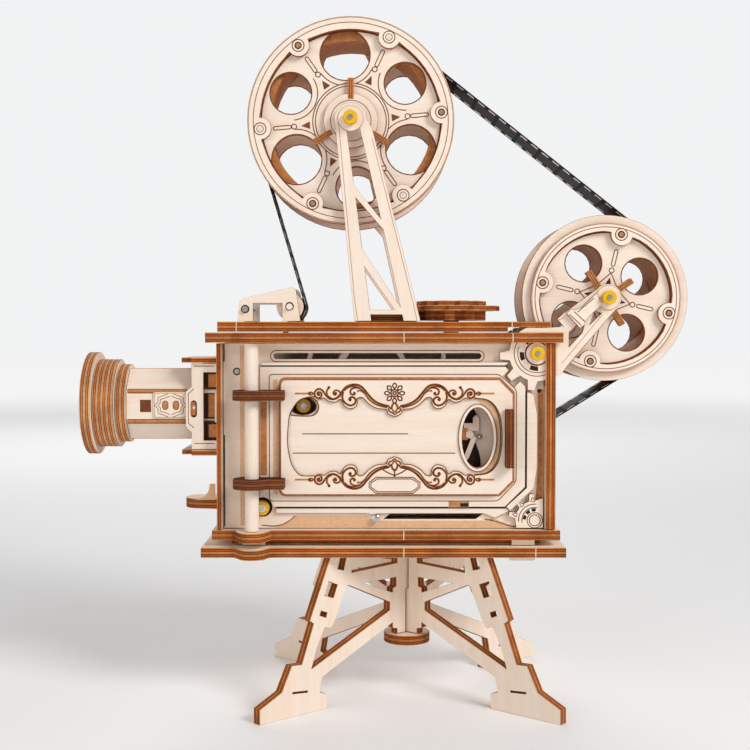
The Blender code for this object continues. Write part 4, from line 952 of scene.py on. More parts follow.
@dataclass
class Case(Part):
    """The case: base, walls, cover and the plates under and over it.

    Attributes:
        plates: The sheets that face up.
        sides: The sheets that face the door side.
        ends: The sheets that face along the lens axis.
        rollers: The turned pieces that lie across it.
    """

    plates: tuple[str, ...] = ("base_lower_plate", "base_spacer_plate", "base_upper_plate", "cover_lower_plate",
                               "cover_upper_plate", "cog_knob", "lens_shelf")
    sides: tuple[str, ...] = ("near_side_panel", "far_side_panel", "chassis_plate")
    ends: tuple[str, ...] = ("lens_wall", "rear_wall", "film_gate")
    rollers: tuple[str, ...] = ("feed_drum", "guide_roller", "lower_roller", "shutter_drum", "crank_grip")

    def build(self) -> None:
        """Dress the case."""
        self.sheets(self.plates, Axis.Z)
        self.sheets(self.sides, Axis.Y)
        self.sheets(self.ends, Axis.X, Wood.FACE_Z)
        self.bench.smooth("hinge_post", self.store.wood[Wood.FACE_Z], "pale_plywood")
        for node in self.rollers:
            self.bench.smooth(node, self.store.wood[Wood.FACE_Y], "pale_plywood")


@dataclass
class Stand(Part):
    """The crossed stand under the case."""

    def build(self) -> None:
        """Dress the two plates and the disc."""
        self.sheets(("stand_plate_main",), Axis.MAIN, Wood.FACE_Z)
        self.sheets(("stand_plate_cross",), Axis.CROSS, Wood.FACE_Z)
        self.sheets(("stand_disc",), Axis.Z)


@dataclass
class Door(Part):
    """The hinged door with its raised panel, straps and handle."""

    def build(self) -> None:
        """Dress the door."""
        self.sheets(("door_plate",), Axis.Y)
        self.sheets(("hinge_strap_lower", "hinge_strap_upper"), Axis.Z, Wood.BURNT, Wood.BURNT)
        self.sheets(("door_handle",), Axis.X, Wood.BURNT, Wood.BURNT)


@dataclass
class Lens(Part):
    """The lens barrel, its rings, the glass and the bracket."""

    def build(self) -> None:
        """Dress the lens."""
        # The lens rings take the lit copy of the ply edge, painted lighter than the case edges.
        self.sheets(("lens_front_ring", "lens_middle_ring", "lens_rear_ring"), Axis.X, Wood.FACE_Z, Wood.RING)
        self.bench.smooth("lens_barrel", self.store.wood[Wood.FACE_X], "pale_plywood")
        self.bench.smooth("lens_glass", self.store.glass, "lens_glass", 0.0)
        self.sheets(("lens_bracket_near", "lens_bracket_far"), Axis.Y, Wood.FACE_Z)
        self.sheets(("lens_bracket_top", "lens_bracket_bottom"), Axis.Z)


@dataclass
class Reels(Part):
    """Both reels, the frame and the arms that hold them, and the guide on the cover."""

    def build(self) -> None:
        """Dress the reels and what holds them."""
        for reel in ("upper_reel", "rear_reel"):
            self.sheets([f"{reel}_{piece}" for piece in ("front_disc", "rear_disc", "rim_ring")], Axis.Y)
            self.bench.smooth(f"{reel}_drum", self.store.scorch, "pale_plywood")
        self.sheets(("upper_stand_near", "upper_stand_far"), Axis.Y, Wood.FACE_Z)
        self.sheets(("upper_stand_foot",), Axis.Z, Wood.FACE_X, Wood.BURNT)
        self.sheets(("rear_arm_near", "rear_arm_far", "guide_near", "guide_far", "crank_arm", "drive_gear",
                     "idler_gear"), Axis.Y)
        for node in ("crank_axle", "guide_pin"):
            self.bench.smooth(node, self.store.steel, "steel")
        self.axles()
        big = [(a, 9.4, 11.5) for a in (95.0, 215.0, 335.0)]
        small = [(a, 7.8, 10.2) for a in (35.0, 155.0, 275.0)]
        ReelArt(self.bench, "upper_reel", UPPER_REEL, 34.55, tuple(5.2 + 60 * i for i in range(6)), big + small,
                25.2, 37.0, (23.5, 29.0), 21.7, 10.3, (14.5, 13.5), (90.0, 210.0, 330.0), (8.2, 16.2), 34.2,
                light_pegs=True).build()
        holes = [(a, 6.9, 8.6) for a in (32.0, 122.0, 212.0, 302.0)]
        ReelArt(self.bench, "rear_reel", REAR_REEL, 24.8, tuple(76.5 + 90 * i for i in range(4)), holes, 15.6, 27.0,
                (13.2, 18.3), 10.9, 4.75, (), (33.0, 123.0, 213.0, 303.0), (4.5, 12.2), 25.1, rays=38.0).build()

    def axles(self) -> None:
        """Make the steel axles and their yellow spacers."""
        for node, (x, z), near, far in (("upper_reel_axle", UPPER_REEL, 24.9, 24.9),
                                        ("rear_reel_axle", REAR_REEL, 24.9, 24.9),
                                        ("rear_arm_pivot", ARM_PIVOT, 23.8, 20.3)):
            middle = spot(x, FILM_Y, z)
            end = ((0.0, 0.0), (0.75, 0.0), (0.95, 0.2), (0.95, 0.9), (1.45, 1.1))
            rod = [(r, d - near) for r, d in end] + [(r, far - d) for r, d in reversed(end)]
            self.bench.turned(f"{node}_rod", "frame", rod, middle, self.store.steel, [node], 24)
            collars = [("near", -1, min(24.1, near - 0.6)), ("far", 1, 24.1)]
            for side, sign, outer in collars[:1 if node == "rear_arm_pivot" else 2]:
                profile = ((1.5, 20.25), (2.5, 20.25), (2.65, 20.45), (2.65, outer - 0.25), (2.45, outer),
                           (1.0, outer), (1.0, outer - 0.2), (1.5, outer - 0.3))
                self.bench.turned(f"{node}_spacer_{side}", "frame", [(r, sign * d) for r, d in profile], middle,
                                  self.store.yellow)


@dataclass
class FilmStrip(Part):
    """The film, one closed strip round its wheels.

    Attributes:
        wheels: Centre, radius and turning sense of each wheel, in the film's order.
        pitch: Length of one frame, in millimetres.
        half_width: Half its width.
        thickness: Its thickness.
    """

    wheels: tuple[tuple[Point, float, int], ...] = (
        (UPPER_REEL, 36.85, 1), (REAR_REEL, 29.55, 1), (FEED_DRUM, 12.55, 1), (LOWER_ROLLER, 5.45, 1),
        ((-57.6, 130.0), 3.55, 1), ((-45.5, 152.9), 5.75, -1))
    pitch: float = 10.5
    half_width: float = 11.0
    thickness: float = 0.36

    @staticmethod
    def heading(first: tuple[Point, float, int], second: tuple[Point, float, int]) -> float:
        """Direction of the straight film between two wheels.

        Args:
            first: The wheel that it leaves.
            second: The wheel that it reaches.

        Returns:
            The angle, in radians.
        """
        (start, radius, turn), (end, other, other_turn) = first, second
        across, up = end[0] - start[0], end[1] - start[1]
        lean = math.asin((turn * radius - other_turn * other) / math.hypot(across, up))
        return math.atan2(up, across) - lean

    def path(self) -> list[Point]:
        """The film's middle line.

        Returns:
            Its points.
        """
        points: list[Point] = []
        for i, wheel in enumerate(self.wheels):
            centre, radius, turn = wheel
            arriving = self.heading(self.wheels[i - 1], wheel)
            leaving = self.heading(wheel, self.wheels[(i + 1) % len(self.wheels)])
            start = arriving + turn * math.pi / 2
            sweep = (turn * (arriving - leaving)) % (2 * math.pi)
            count = max(4, int(math.degrees(sweep) / 4) + 2)
            points += arc(centre, radius, math.degrees(start), math.degrees(start - turn * sweep), count)
        return points

    def build(self) -> None:
        """Make the strip with its map."""
        points = self.path()
        ends = [0.0]
        for here, there in zip(points, [*points[1:], points[0]]):
            ends.append(ends[-1] + math.dist(here, there))
        scale = round(ends[-1] / self.pitch) / ends[-1]
        work = bmesh.new()
        layer = work.loops.layers.uv.new("strip")
        rows = [[work.verts.new(spot(x, FILM_Y + side, z)) for side in (-self.half_width, self.half_width)]
                for x, z in points]
        for i, (near, far) in enumerate(rows):
            near_next, far_next = rows[(i + 1) % len(rows)]
            face = work.faces.new((near, near_next, far_next, far))
            start, end = ends[i] * scale, ends[i + 1] * scale
            for loop, place in zip(face.loops, ((start, 0.0), (end, 0.0), (end, 1.0), (start, 1.0))):
                loop[layer].uv = place
        bmesh.ops.recalc_face_normals(work, faces=work.faces)
        piece = self.bench.emit("film_strip", work, "frame", [self.store.film], "film", ["film_loop"], 60.0)
        thick = piece.modifiers.new("thickness", "SOLIDIFY")
        thick.thickness = self.thickness * MM
        thick.offset = 0.0


@dataclass
class ReelArt(Part):
    """The engraving, pegs, clips and hub of one reel.

    Attributes:
        reel: The reel's name.
        centre: Its axle.
        lobe_circle: Radius of the circle of its lobes.
        lobes: Angle of each lobe.
        holes: Angle, radius and line radius of each hole.
        hole_circle: Radius of the circle of its holes.
        rim_line: Radius of the line on its rim.
        slot_span: Where the slots between the holes start and end.
        bead: Radius of the circle of the small rings.
        hub: Radius of its raised hub.
        hub_lines: Radii of the lines round its hub.
        clips: Angle of each clip.
        clip_span: Where the clips start and end.
        shade: Radius of the line inside its rim: scorch, with the rim's shade painted in.
        rays: Half the angle between the straight lines from a small ring, or 0 for curved ones.
        light_pegs: Whether every second peg is pale.
        face: Level of its near disc's face.
        rim_face: Level of its rim ring's face.
        back_face: Level of its far disc's face.
    """

    reel: str
    centre: Point
    lobe_circle: float
    lobes: Sequence[float]
    holes: Sequence[tuple[float, float, float]]
    hole_circle: float
    rim_line: float
    slot_span: tuple[float, float]
    bead: float
    hub: float
    hub_lines: Sequence[float]
    clips: Sequence[float]
    clip_span: tuple[float, float]
    shade: float
    rays: float = 0.0
    light_pegs: bool = False
    face: float = DRUM_FACE
    rim_face: float = -23.6
    back_face: float = 5.4

    def build(self) -> None:
        """Make the reel's small pieces and its engraving."""
        rim = self.pen(self.rim_face, self.reel)
        back = self.pen(self.back_face, self.reel, side=1)
        disc = self.pen(self.face, self.reel, bold=1.6)
        pegs = [polar(self.centre, self.lobe_circle, a) for a in self.lobes]
        burnt = pegs[::2] if self.light_pegs else pegs
        rim.lines(f"{self.reel}_rim_line", [ring(self.centre, self.rim_line, 96)], 0.26, True)
        for side, pen in (("near", rim), ("far", back)):
            pen.lines(f"{self.reel}_peg_rings_{side}", [ring(p, 2.25, 24) for p in pegs], 0.34, True)
            # Black discs: painted shade in the hole round each peg.
            pen.discs(f"{self.reel}_peg_wells_{side}", burnt, 1.4, 0.06, self.store.black)
            pen.discs(f"{self.reel}_pegs_{side}", burnt, 0.95, 0.16, self.store.peg)
            if self.light_pegs:
                pen.discs(f"{self.reel}_light_pegs_{side}", pegs[1::2], 1.15, 0.1, self.store.pale)
                pen.lines(f"{self.reel}_light_peg_rings_{side}", [ring(p, 1.2, 20) for p in pegs[1::2]], 0.34, True)
        edge = self.shade + (4.7 if self.light_pegs else 3.1)
        rim.lines(f"{self.reel}_rim_edge", [ring(self.centre, edge, 96)], 0.3, True, self.store.fine)
        # Brown ring inside the rim: painted shade of the rim's inner wall over its scorch.
        disc.lines(f"{self.reel}_rim_shade", [ring(self.centre, self.shade, 96)], 0.5, True, self.store.brown)
        self.engrave(disc, "near")
        self.engrave(back, "far")
        base = self.bead - 6.0
        lean = math.degrees(math.atan2(1.45, base))
        # The openings are painted: dark or brown inlays stand for the shade in each through hole and, on the upper
        # reel, its lit wall.
        tone = self.store.brown if self.light_pegs else self.store.dark
        for i, angle in enumerate(self.lobes):
            corners = [polar(self.centre, self.bead - 2.7, angle), polar(self.centre, base, angle + lean),
                       polar(self.centre, base, angle - lean)]
            disc.inlay(f"{self.reel}_opening_{i}", rounded(corners, 0.25, 3), tone)
        self.make_hub()
        self.make_clips()

    def engrave(self, pen: Pen, side: str) -> None:
        """Draw the lines of one face.

        Args:
            pen: Draws on it.
            side: Its name.
        """
        marks = []
        for angle in self.lobes:
            first, last = self.slot_span
            marks.append(slot_loop(polar(self.centre, first, angle), polar(self.centre, last, angle), 1.35))
            marks.append(ring(polar(self.centre, self.bead, angle), 0.95, 16))
        marks += [ring(self.centre, radius, 72) for radius in self.hub_lines]
        marks += [ring(polar(self.centre, self.hole_circle, a), r + 0.2, 48) for a, r, _ in self.holes]
        pen.lines(f"{self.reel}_rings_{side}", marks, 0.28, True)
        pen.lines(f"{self.reel}_arcs_{side}", self.straight() if self.rays else self.arcs(), 0.28)

    def straight(self) -> list[list[Point]]:
        """The straight lines from each small ring to the hub.

        Returns:
            The lines.
        """
        near, far = self.hub + 1.3, self.bead - 1.0
        return [[polar(self.centre, far, angle), polar(self.centre, near, angle + turn)]
                for angle in self.lobes for turn in (-self.rays, self.rays)]

    def arcs(self) -> list[list[Point]]:
        """The curved lines round the holes, cut off at the hub's lines.

        Returns:
            The lines.
        """
        kept = []
        least = max((self.hub, *self.hub_lines)) + 0.1
        for angle, _, radius in self.holes:
            line: list[Point] = []
            for point in arc(polar(self.centre, self.hole_circle, angle), radius, angle + 122, angle + 238, 41):
                if math.dist(point, self.centre) > least:
                    line.append(point)
                else:
                    kept.append(line)
                    line = []
            kept.append(line)
        return [line for line in kept if len(line) > 1]

    def make_hub(self) -> None:
        """Make the raised hub with its engraved line."""
        top = self.face - 1.9
        self.bench.cut(f"{self.reel}_hub", self.reel, [ring(self.centre, self.hub, 64), ring(self.centre, 1.9, 20)],
                       top, self.face)
        self.pen(top, self.reel).lines(f"{self.reel}_hub_line", [ring(self.centre, self.hub - 2.6, 56)], 0.24, True)

    def make_clips(self) -> None:
        """Make the burnt plywood clips between the hub and the holes."""
        first, last = self.clip_span
        top = self.face - 2.1
        marks = []
        for i, angle in enumerate(self.clips):
            loop = [beside(self.centre, radius, angle, across)
                    for radius, across in ((first, -1.15), (last, -1.15), (last, 1.15), (first, 1.15))]
            self.bench.cut(f"{self.reel}_clip_{i}", self.reel, [loop], top, self.face + 2.2, width=0.2,
                           finish=self.store.scorch)
            marks += [[beside(self.centre, radius, angle, across) for radius in (first + 0.3, last - 0.3)]
                      for across in (-0.42, 0.42)]
        self.pen(top, self.reel).lines(f"{self.reel}_clip_lines", marks, 0.26)


@dataclass
class Scrolls:
    """The scroll ornaments over and under the door's panel.

    Attributes:
        pen: Draws on the panel's face.
        strokes: Width and points of each stroke of the left half, measured from the middle line.
        dots: Place and radius of each dot.
    """

    pen: Pen
    strokes: tuple[tuple[float, tuple[Point, ...]], ...] = (
        (0.42, ((-26.1, 119.6), (-27.4, 121.3), (-28.8, 121.7), (-30.0, 120.8), (-30.1, 119.2), (-28.8, 118.2),
                (-27.6, 119.1), (-27.8, 120.3), (-28.9, 120.5), (-29.1, 119.7), (-28.5, 119.5))),
        (0.52, ((-26.1, 119.6), (-24.7, 118.2), (-23.0, 117.9), (-21.3, 118.7), (-19.9, 120.6), (-18.2, 122.5),
                (-15.4, 123.4), (-12.7, 122.7), (-10.6, 120.4), (-8.2, 117.7), (-5.5, 116.1), (-2.1, 115.2))),
        (0.34, ((-19.0, 121.1), (-17.5, 122.3), (-15.3, 122.7), (-13.2, 122.0), (-11.3, 120.1), (-9.3, 117.5),
                (-6.5, 115.7), (-2.7, 114.7))),
        (0.46, ((-19.4, 120.8), (-19.7, 118.2), (-18.5, 116.3), (-16.6, 115.5), (-15.0, 116.3), (-14.8, 117.9),
                (-16.1, 118.7), (-17.1, 117.9), (-16.5, 117.4))),
        (0.40, ((-12.9, 122.0), (-15.1, 122.2), (-16.6, 121.3), (-16.5, 119.9), (-15.3, 119.6), (-14.8, 120.4))),
        (0.36, ((-20.9, 118.7), (-20.3, 119.9), (-21.3, 121.1), (-22.6, 121.1), (-23.1, 120.1), (-22.4, 119.5),
                (-21.9, 120.1))),
        (0.36, ((-23.7, 118.1), (-25.3, 119.2), (-25.6, 120.9), (-24.9, 122.0))),
        (0.28, ((-14.2, 120.9), (-12.9, 121.1), (-11.3, 120.1))),
        (0.24, ((-37.7, 120.0), (-31.5, 120.0))),
        (0.30, ((-32.7, 120.0), (-31.7, 120.5), (-30.7, 120.0), (-31.7, 119.5), (-32.7, 120.0))),
        (0.40, ((-2.1, 115.1), (-1.3, 114.3), (-0.8, 115.8), (0.0, 116.6))),
        (0.34, ((-2.4, 114.5), (-1.9, 113.2), (-0.8, 112.8), (0.0, 112.0))),
        (0.30, ((-1.0, 114.3), (-0.5, 113.4), (0.0, 113.0))),
    )
    dots: tuple[tuple[float, float, float], ...] = (
        (-28.6, 119.6, 0.55), (-16.8, 117.7, 0.62), (-15.2, 120.2, 0.5), (-22.2, 120.1, 0.55), (-24.8, 122.3, 0.55),
        (-32.0, 120.0, 0.4))

    def side(self, point: Point, mirror: int, flip: bool) -> Point:
        """Place a point of the ornament in one of its four copies."""
        x, z = point
        return (ORNAMENT_X + mirror * x, 2 * ORNAMENT_Z - z if flip else z)

    def build(self) -> None:
        """Draw both ornaments with their middle pieces."""
        burnt = self.pen.bench.store.wood[Wood.LINE]
        for flip in (False, True):
            where = "lower" if flip else "upper"
            widths: dict[float, list[list[Point]]] = {}
            for width, stroke in self.strokes:
                smooth = curve_through(stroke) if len(stroke) > 2 else list(stroke)
                for mirror in (1, -1):
                    widths.setdefault(width, []).append([self.side(p, mirror, flip) for p in smooth])
            for i, (width, paths) in enumerate(sorted(widths.items())):
                self.pen.lines(f"door_{where}_scroll_{i}", paths, width)
            strokes = [path for paths in widths.values() for path in paths]
            self.pen.bench.lines(f"door_{where}_scroll_glow", self.pen.body, strokes, self.pen.level,
                                 self.pen.axis, 1.15, finish=self.pen.bench.store.glow, rise=0.05)
            for i, (x, z, radius) in enumerate(self.dots):
                self.pen.discs(f"door_{where}_scroll_dots_{i}",
                               [self.side((x, z), mirror, flip) for mirror in (1, -1)], radius, 0.1, burnt, 14)
        self.rosette((ORNAMENT_X, 120.15))
        self.label()

    def rosette(self, centre: Point) -> None:
        """Draw the round flower in the middle of the upper ornament.

        Args:
            centre: Its middle.
        """
        petals = []
        for i in range(8):
            angle = 45.0 * i
            tip, base = polar(centre, 3.8, angle), polar(centre, 1.7, angle)
            cheek = [polar(centre, 2.9, angle + s * 15) for s in (1, -1)]
            petals.append(curve_through([base, cheek[0], tip, cheek[1], base], 4))
        self.pen.lines("door_rosette_petals", petals, 0.36)
        self.pen.lines("door_rosette_rings", [ring(centre, 1.35, 24), ring(centre, 0.6, 14)], 0.38, True)

    def label(self) -> None:
        """Draw the bare label plate and the stalk under the lower flower."""
        left, right, low, high, cut = -15.0, 4.2, 82.2, 88.3, 2.6
        middle = (low + high) / 2
        side_low, side_high = 84.4, 86.4
        frame_loop = [(left, side_high), (left, side_low), (left + cut, low), (right - cut, low), (right, side_low),
                      (right, side_high), (right - cut, high), (left + cut, high)]
        inner = [(ORNAMENT_X + (x - ORNAMENT_X) * 0.93, middle + (z - middle) * 0.80) for x, z in frame_loop]
        self.pen.lines("door_label_frame", [frame_loop, inner], 0.26, True)
        stalk = [[(ORNAMENT_X, high), (ORNAMENT_X, 91.6)]]
        stalk += [curve_through([(ORNAMENT_X, 89.0), (ORNAMENT_X + 2.4 * side, 90.0), (ORNAMENT_X + 4.4 * side, 91.2)])
                  for side in (-1, 1)]
        self.pen.lines("door_label_stalk", stalk, 0.32)


@dataclass
class DoorArt(Part):
    """The door's lines, recess and window rims.

    Attributes:
        window: The oval window's middle.
        edge_of_ornament: The lower edge of the upper ornament's left half.
    """

    window: Point = (26.0, 103.2)
    edge_of_ornament: tuple[Point, ...] = (
        (-29.8, 118.7), (-28.1, 117.9), (-26.7, 118.4), (-24.7, 117.1), (-22.3, 116.8), (-20.4, 117.9),
        (-19.0, 115.4), (-17.1, 114.4), (-15.3, 114.6), (-14.1, 116.1), (-14.1, 118.2), (-12.0, 118.4),
        (-9.6, 116.1), (-6.5, 114.4), (-3.1, 114.0), (-2.6, 112.5), (-1.0, 111.7), (0.0, 111.3))

    def outline(self) -> list[Point]:
        """The raised panel's outline.

        Returns:
            The outline: square cut corners on the right and small round ones on the left.
        """
        left = [(-48.4, 125.1), (-48.4, 81.8)]
        right = [(33.9, 81.8), (39.2, 87.1), (39.2, 119.8), (33.9, 125.1)]
        soft = rounded([left[0], left[1], right[0], right[-1]], 2.4, 6)
        return soft[:12] + right

    @staticmethod
    def right_end() -> list[Point]:
        """The round right end of the lowered middle."""
        return curve_through([(25.3, 118.3), (29.1, 117.8), (31.8, 116.2), (33.9, 113.0), (34.9, 108.5),
                              (35.2, 103.7), (34.9, 98.9), (33.9, 94.4), (31.8, 91.2), (29.1, 89.6), (25.3, 89.1)], 3)

    def recess(self) -> list[Point]:
        """The outline of the lowered middle of the panel.

        Returns:
            The outline.
        """
        top = curve_through(self.edge_of_ornament, 3)
        high = [(ORNAMENT_X + x, z) for x, z in top] + [(ORNAMENT_X - x, z) for x, z in reversed(top[:-1])]
        right = self.right_end()
        low = [(x, 2 * ORNAMENT_Z - z) for x, z in reversed(high)]
        left = curve_through([(-36.2, 88.9), (-40.4, 88.9), (-42.7, 90.6), (-44.4, 93.6), (-45.4, 97.6),
                              (-45.9, 102.4), (-45.6, 107.5), (-45.0, 112.0), (-43.6, 114.8), (-41.7, 117.2),
                              (-39.3, 118.4), (-36.2, 118.9)], 3)
        return high + right + low + left

    def teardrop(self, grow: float = 0.0) -> list[Point]:
        """The peep window's outline.

        Args:
            grow: How much larger to make it.

        Returns:
            The outline.
        """
        points = curve_through([(-44.9, 112.0), (-43.6, 114.6), (-41.7, 117.0), (-39.3, 118.1), (-36.9, 118.1),
                                (-35.2, 117.2), (-34.3, 115.3), (-34.7, 113.2), (-36.4, 111.8), (-39.0, 111.6),
                                (-42.0, 111.7), (-44.9, 112.0)], 3)[:-1]
        centre = (-39.6, 114.9)
        return [(x + grow * (x - centre[0]) / 5.0, z + grow * (z - centre[1]) / 3.4) for x, z in points]

    def build(self) -> None:
        """Make the two layers of the raised panel, then its lines."""
        store = self.store
        windows = [oval(self.window, 6.0, 11.6), self.teardrop()]
        self.bench.cut("door_raised_panel_back", "door", [self.outline(), *windows], LOW_FACE, PANEL_BACK,
                       stands_for=["door_raised_panel"], width=0.08)
        self.bench.cut("door_raised_panel_frame", "door", [self.outline(), self.recess()], HIGH_FACE, LOW_FACE,
                       width=0.1)
        plate_face = self.pen(PLATE_FACE, "door")
        low = self.pen(LOW_FACE, "door")
        high = self.pen(HIGH_FACE, "door")
        self.rims(low)
        border = [(-52.9, 127.2), (-52.9, 79.0), (33.9, 79.0), (40.8, 86.4), (40.8, 121.4), (34.2, 127.2)]
        plate_face.lines("door_border_line", [rounded(border, 1.4, 4)], 0.30, True)
        # Brown band round the raised panel: its laser scorch with painted shade along its edge.
        grown = [(x + (0.5 if x > 0 else -0.5), z + (0.5 if z > ORNAMENT_Z else -0.5)) for x, z in self.outline()]
        plate_face.lines("door_panel_scorch_and_shade", [grown], 0.95, True, store.scorch)
        # Painted shadow of the hinge post on the door's left margin.
        plate_face.inlay("door_margin_post_shadow", box(-56.2, -53.8, 88.8, 116.8), store.scorch)
        # Painted shade left of the raised panel.
        plate_face.inlay("door_panel_left_shade", [(-51.4, 82.0), (-49.6, 81.4), (-49.6, 125.5), (-51.4, 125.0)], store.glow)
        plate_face.inlay("rail_opening", box(15.2, 22.9, 76.8, 78.9), store.scorch)
        # Black end of the rail opening: painted shade inside it.
        plate_face.inlay("rail_opening_end", box(19.6, 22.7, 76.8, 78.2), store.black, 0.09)
        # Painted shade inside the round right end of the lowered middle, round the window.
        inner = [(self.window[0] + 7.4 * math.cos(t), self.window[1] + 13.0 * math.sin(t))
                 for t in (math.radians(a) for a in range(-80, 81, 8))]
        low.inlay("door_recess_end_shade", self.right_end() + inner, store.glow)
        shade = [(x - 0.45, z) for x, z in self.right_end()]
        low.lines("door_window_shade", [shade], 0.7, False, store.brown)
        low.lines("door_rule_upper", [[(-40.4, 104.7), (-0.3, 104.7)]], 0.34)
        low.lines("door_rule_lower", [[(-43.9, 97.4), (17.6, 97.4)]], 0.34)
        high.lines("door_recess_edge", [self.recess()], 0.30, True)
        Scrolls(self.pen(HIGH_FACE, "door", bold=1.75)).build()

    def rims(self, low: Pen) -> None:
        """Make the rims of the two windows.

        Args:
            low: Draws on the lowered middle.
        """
        outer = oval(self.window, 7.2, 12.8)
        self.bench.cut("door_window_rim", "door", [outer, oval(self.window, 6.0, 11.6)], RIM_FACE, LOW_FACE,
                       width=0.08)
        self.pen(RIM_FACE, "door").lines("door_window_rim_line", [outer], 0.26, True)
        low.lines("door_peep_rim", [self.teardrop(0.15)], 0.42, True)


@dataclass
class CaseArt(Part):
    """The layer round the door, the corner gear, the slot's border and the marks on the plates."""

    def build(self) -> None:
        """Make the case's small pieces."""
        self.surround()
        self.corner()
        self.slot_border()
        self.cog()
        self.marks()
        self.tabs()

    def surround(self) -> None:
        """Make the sheet that frames the door, a hair away from it."""
        top = [(-56.0, 130.5), (36.6, 130.5), (38.0, 131.8), (-56.0, 131.8)]
        right = [(44.6, 84.0), (44.6, 120.6), (47.3, 119.8), (48.8, 112.0), (48.8, 92.0), (47.6, 84.0), (38.6, 75.2),
                 (36.9, 76.9)]
        low = [(-50.5, 76.4), (-50.5, 74.2), (-16.0, 74.2), (-13.6, 73.6), (-11.5, 74.1), (28.7, 74.1), (33.0, 72.4),
               (38.6, 75.2), (36.9, 76.4), (23.3, 76.4), (23.3, 78.9), (14.9, 78.9), (14.9, 76.4)]
        for name, loop in (("top", top), ("right", right), ("low", low)):
            level = SILL_FACE if name == "low" else PLATE_FACE
            self.bench.cut(f"door_surround_{name}", "frame", [loop], level, WALL_FACE)
        face = self.pen(WALL_FACE)
        # Painted shadow of the hinge post on the panel.
        face.inlay("panel_post_shadow", box(-64.2, -62.4, 69.2, 138.0), self.store.glow, 0.05)
        # Painted shade on the recessed strip right of the door.
        shade = self.store.scorch
        face.inlay("side_recess_shade", [(49.0, 121.5), (51.2, 121.5), (51.2, 77.0), (48.4, 79.0), (49.4, 92.0),
                                        (49.4, 112.0)], shade, 0.05)
        # Painted shade on the lower sheet under the surround's edge.
        apron = [(-51.5, 68.6), (-48.4, 69.6), (-45.8, 71.0), (-43.2, 73.0), (-16.0, 73.0), (-14.6, 71.8),
                 (-11.2, 71.2), (29.0, 71.2), (32.0, 72.2), (41.5, 68.6)]
        face.inlay("apron_shade", apron, self.store.glow, 0.05)
        # Black lines paint the shade inside the thin gaps round the door.
        black = self.store.black
        self.pen(SILL_FACE).lines("door_gap_low", [[(-50.4, 76.25), (36.7, 76.25)]], 0.42, False, black)
        self.pen(PLATE_FACE).lines("door_gap", [
            [(-55.8, 130.35), (37.4, 130.35)], [(36.9, 76.9), (44.7, 84.1), (44.7, 120.5)]], 0.42, False, black)
        self.bench.turned("rail_pin", "frame", [(0.0, 0.0), (0.9, 0.0), (0.9, -1.3), (1.35, -1.5), (1.35, -2.2),
                                                (1.0, -2.4), (0.0, -2.4)],
                          spot(-12.3, WALL_FACE, 72.3), self.store.steel, sides=24)
        # Dark disc: painted shade inside the screw hole.
        face.discs("panel_screw_hole", [(49.7, 120.8)], 0.75, 0.12, self.store.dark, 20)
        wave = curve_through([(-56.0, 69.5), (-52.0, 69.1), (-48.6, 69.6), (-45.8, 71.0), (-43.2, 73.0)])
        wave_right = curve_through([(29.0, 71.8), (33.0, 71.0), (38.0, 69.4), (42.0, 68.8)])
        self.pen(-25.47).lines("apron_lines", [wave, wave_right], 0.3)

    def corner(self) -> None:
        """Make the quarter gear and the screw in the lower right corner."""
        centre = (48.0, 71.6)
        outline = [(51.2, 68.6), (51.2, 80.2)]
        for angle in (98, 132, 166):
            outline += [polar(centre, 7.6, angle - 9), polar(centre, 10.2, angle - 5), polar(centre, 10.2, angle + 5),
                        polar(centre, 7.6, angle + 9)]
        outline += [polar(centre, 7.4, 190), (40.9, 68.6)]
        self.bench.cut("corner_gear", "frame", [outline], GEAR_FACE, WALL_FACE)
        pen = self.pen(GEAR_FACE)
        pen.lines("corner_gear_lines", [arc(centre, 6.2, 85, 185, 16), arc(centre, 4.9, 80, 190, 16)], 0.3)
        # Black inlays paint the shade in the gear's openings.
        for i, angle in enumerate((96, 130, 164)):
            pen.inlay(f"corner_gear_opening_{i}", sector(centre, 3.4, 4.6, angle, 11), self.store.black)
            tooth = [polar(centre, 7.2, angle - 7), polar(centre, 9.0, angle), polar(centre, 7.2, angle + 7)]
            pen.lines(f"corner_gear_tooth_{i}", [rounded(tooth, 0.4, 3)], 0.25, True)
        pen.lines("corner_screw_rings", [ring(centre, 2.9, 32), ring(centre, 2.1, 28)], 0.3, True)
        self.bench.turned("corner_screw", "frame", [(0.0, 0.0), (1.35, 0.0), (1.25, 0.5), (0.6, 0.7), (0.0, 0.75)],
                          spot(48.0, -27.2, 71.6), self.store.brass, sides=24)

    def slot_border(self) -> None:
        """Draw the line round the long slot, the small holes and the thin gaps."""
        pen = self.pen(WALL_FACE)
        pen.lines("slot_border", [slot_loop((-50.4, 134.05), (26.6, 134.05), 4.3)], 0.3, True)
        pen.discs("panel_pins", [(-65.4, 128.2)], 1.0, 0.3, self.store.steel, 20, "steel")
        pen.lines("panel_pin_ring", [ring((-65.4, 128.2), 1.25, 20)], 0.4, True, self.store.black)
        # Black lines and disc paint the shade in the gaps beside the panel and in the roller's well.
        pen.lines("panel_gaps", [[(-70.2, 138.6), (-70.2, 132.0)], [(-70.2, 104.0), (-70.2, 69.0)]], 0.35, False,
                  self.store.black)
        pen.inlay("roller_well", ring(LOWER_ROLLER, 3.7, 32), self.store.black, 0.05)

    def cog(self) -> None:
        """Engrave the arm's cog, and make its hub."""
        pen = self.pen(STAND_FACE)
        pen.lines("cog_lines", [arc(ARM_PIVOT, 8.6, 150, 312, 48), arc(ARM_PIVOT, 7.3, 160, 305, 44)], 0.28)
